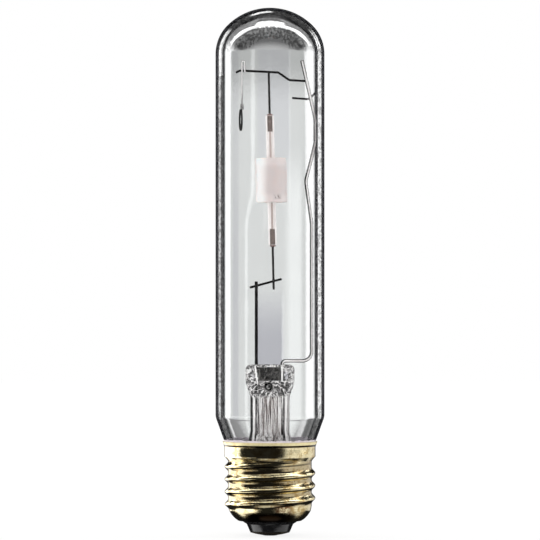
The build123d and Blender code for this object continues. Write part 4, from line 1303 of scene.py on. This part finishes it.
def set_on_axis(section, segments, flip=Matrix.Identity(4)):
    """Turns a section of the arc tube and tilts it onto its axis."""
    mesh = section.turned(segments)
    bmesh.ops.transform(mesh, matrix=arc_place @ flip, verts=mesh.verts)
    return mesh


barrel = Section(barrel_bore, -barrel_half + 0.1)
barrel.lines((barrel_bore + 0.1, -barrel_half), (barrel_r - barrel_round, -barrel_half, 2))
barrel.arc(barrel_r - barrel_round, -barrel_half + barrel_round, -90, 8)
barrel.line(barrel_r, barrel_half - barrel_round, 8)
barrel.arc(barrel_r - barrel_round, barrel_half - barrel_round, -90, 8)
barrel.lines(
    (barrel_bore + 0.1, barrel_half, 2),
    (barrel_bore, barrel_half - 0.1),
    (barrel_bore, -barrel_half + 0.1, 8),
)
make_piece("barrel", set_on_axis(barrel, 120), ceramic, "arc_ceramic", "arc_barrel")

# %% [markdown]
# A plug is a disc with a hole for the leg and broken edges. A leg is a thin tube with rounded mouths.
# The seal fills the end of its bore round the rod and stands out of it in a small collar. The same
# three sections are drawn for both ends of the arc tube.

# %% Plugs, legs and seals
for side, flip in (("upper", Matrix.Identity(4)), ("lower", upside_down)):
    plug = Section(leg_r + gap, plug_low)
    plug.lines(
        (barrel_bore - 0.15, plug_low, 3),
        (barrel_bore - gap, plug_low + 0.15),
        (barrel_bore - gap, plug_high - 0.15, 2),
        (barrel_bore - 0.15, plug_high),
        (leg_r + gap, plug_high, 3),
        (leg_r + gap, plug_low, 2),
    )
    make_piece(side + "_end_plug", set_on_axis(plug, 96, flip), ceramic, "arc_ceramic", side + "_plug")
    leg = Section(leg_bore, leg_start)
    leg.lines((leg_r - 0.15, leg_start, 2), (leg_r, plug_low + 0.1), (leg_r, leg_end - leg_round, 20))
    leg.arc(leg_r - leg_round, leg_end - leg_round, -90, 5)
    leg.lines((leg_bore, leg_end), (leg_bore, leg_start, 20))
    make_piece(side + "_leg", set_on_axis(leg, 64, flip), leg_ceramic, "arc_ceramic", side + "_capillary")
    seal = Section(rod_hole_r, frit_start)
    seal.lines(
        (leg_bore - gap, frit_start), (leg_bore - gap, leg_end + 0.01, 6), (0.92, leg_end + 0.02, 2)
    )
    seal.arc(0.52, leg_end + 0.04, -75, 6)
    seal.lines((rod_hole_r, leg_end + 0.5), (rod_hole_r, frit_start, 6))
    make_piece(side + "_seal", set_on_axis(seal, 48, flip), frit, "frit", side + "_frit")

dress(rod_metal, "upper_lead", "lower_lead", "upper_electrode", "lower_electrode")
dress(inner_metal, "upper_inner_rod", "lower_inner_rod")
dress(halide, "halide_dose")
dress(dark_metal, "frame_seal_wire", "riser_seal_wire")
dress(lead_metal, "centre_lead", "side_lead")

# %% [markdown]
# The picture is shown as rendered, with no look on top. Light has to pass many glass surfaces, so it
# may bounce more often than usual, and the noise that is left is filtered.

# %% Picture settings
scene = bpy.context.scene
scene.view_settings.view_transform = "Standard"
scene.cycles.max_bounces = 32
scene.cycles.transmission_bounces = 28
scene.cycles.glossy_bounces = 12
scene.cycles.transparent_max_bounces = 16
scene.cycles.caustics_refractive = True
scene.cycles.caustics_reflective = True
scene.cycles.use_denoising = True
print("view transform:", scene.view_settings.view_transform)
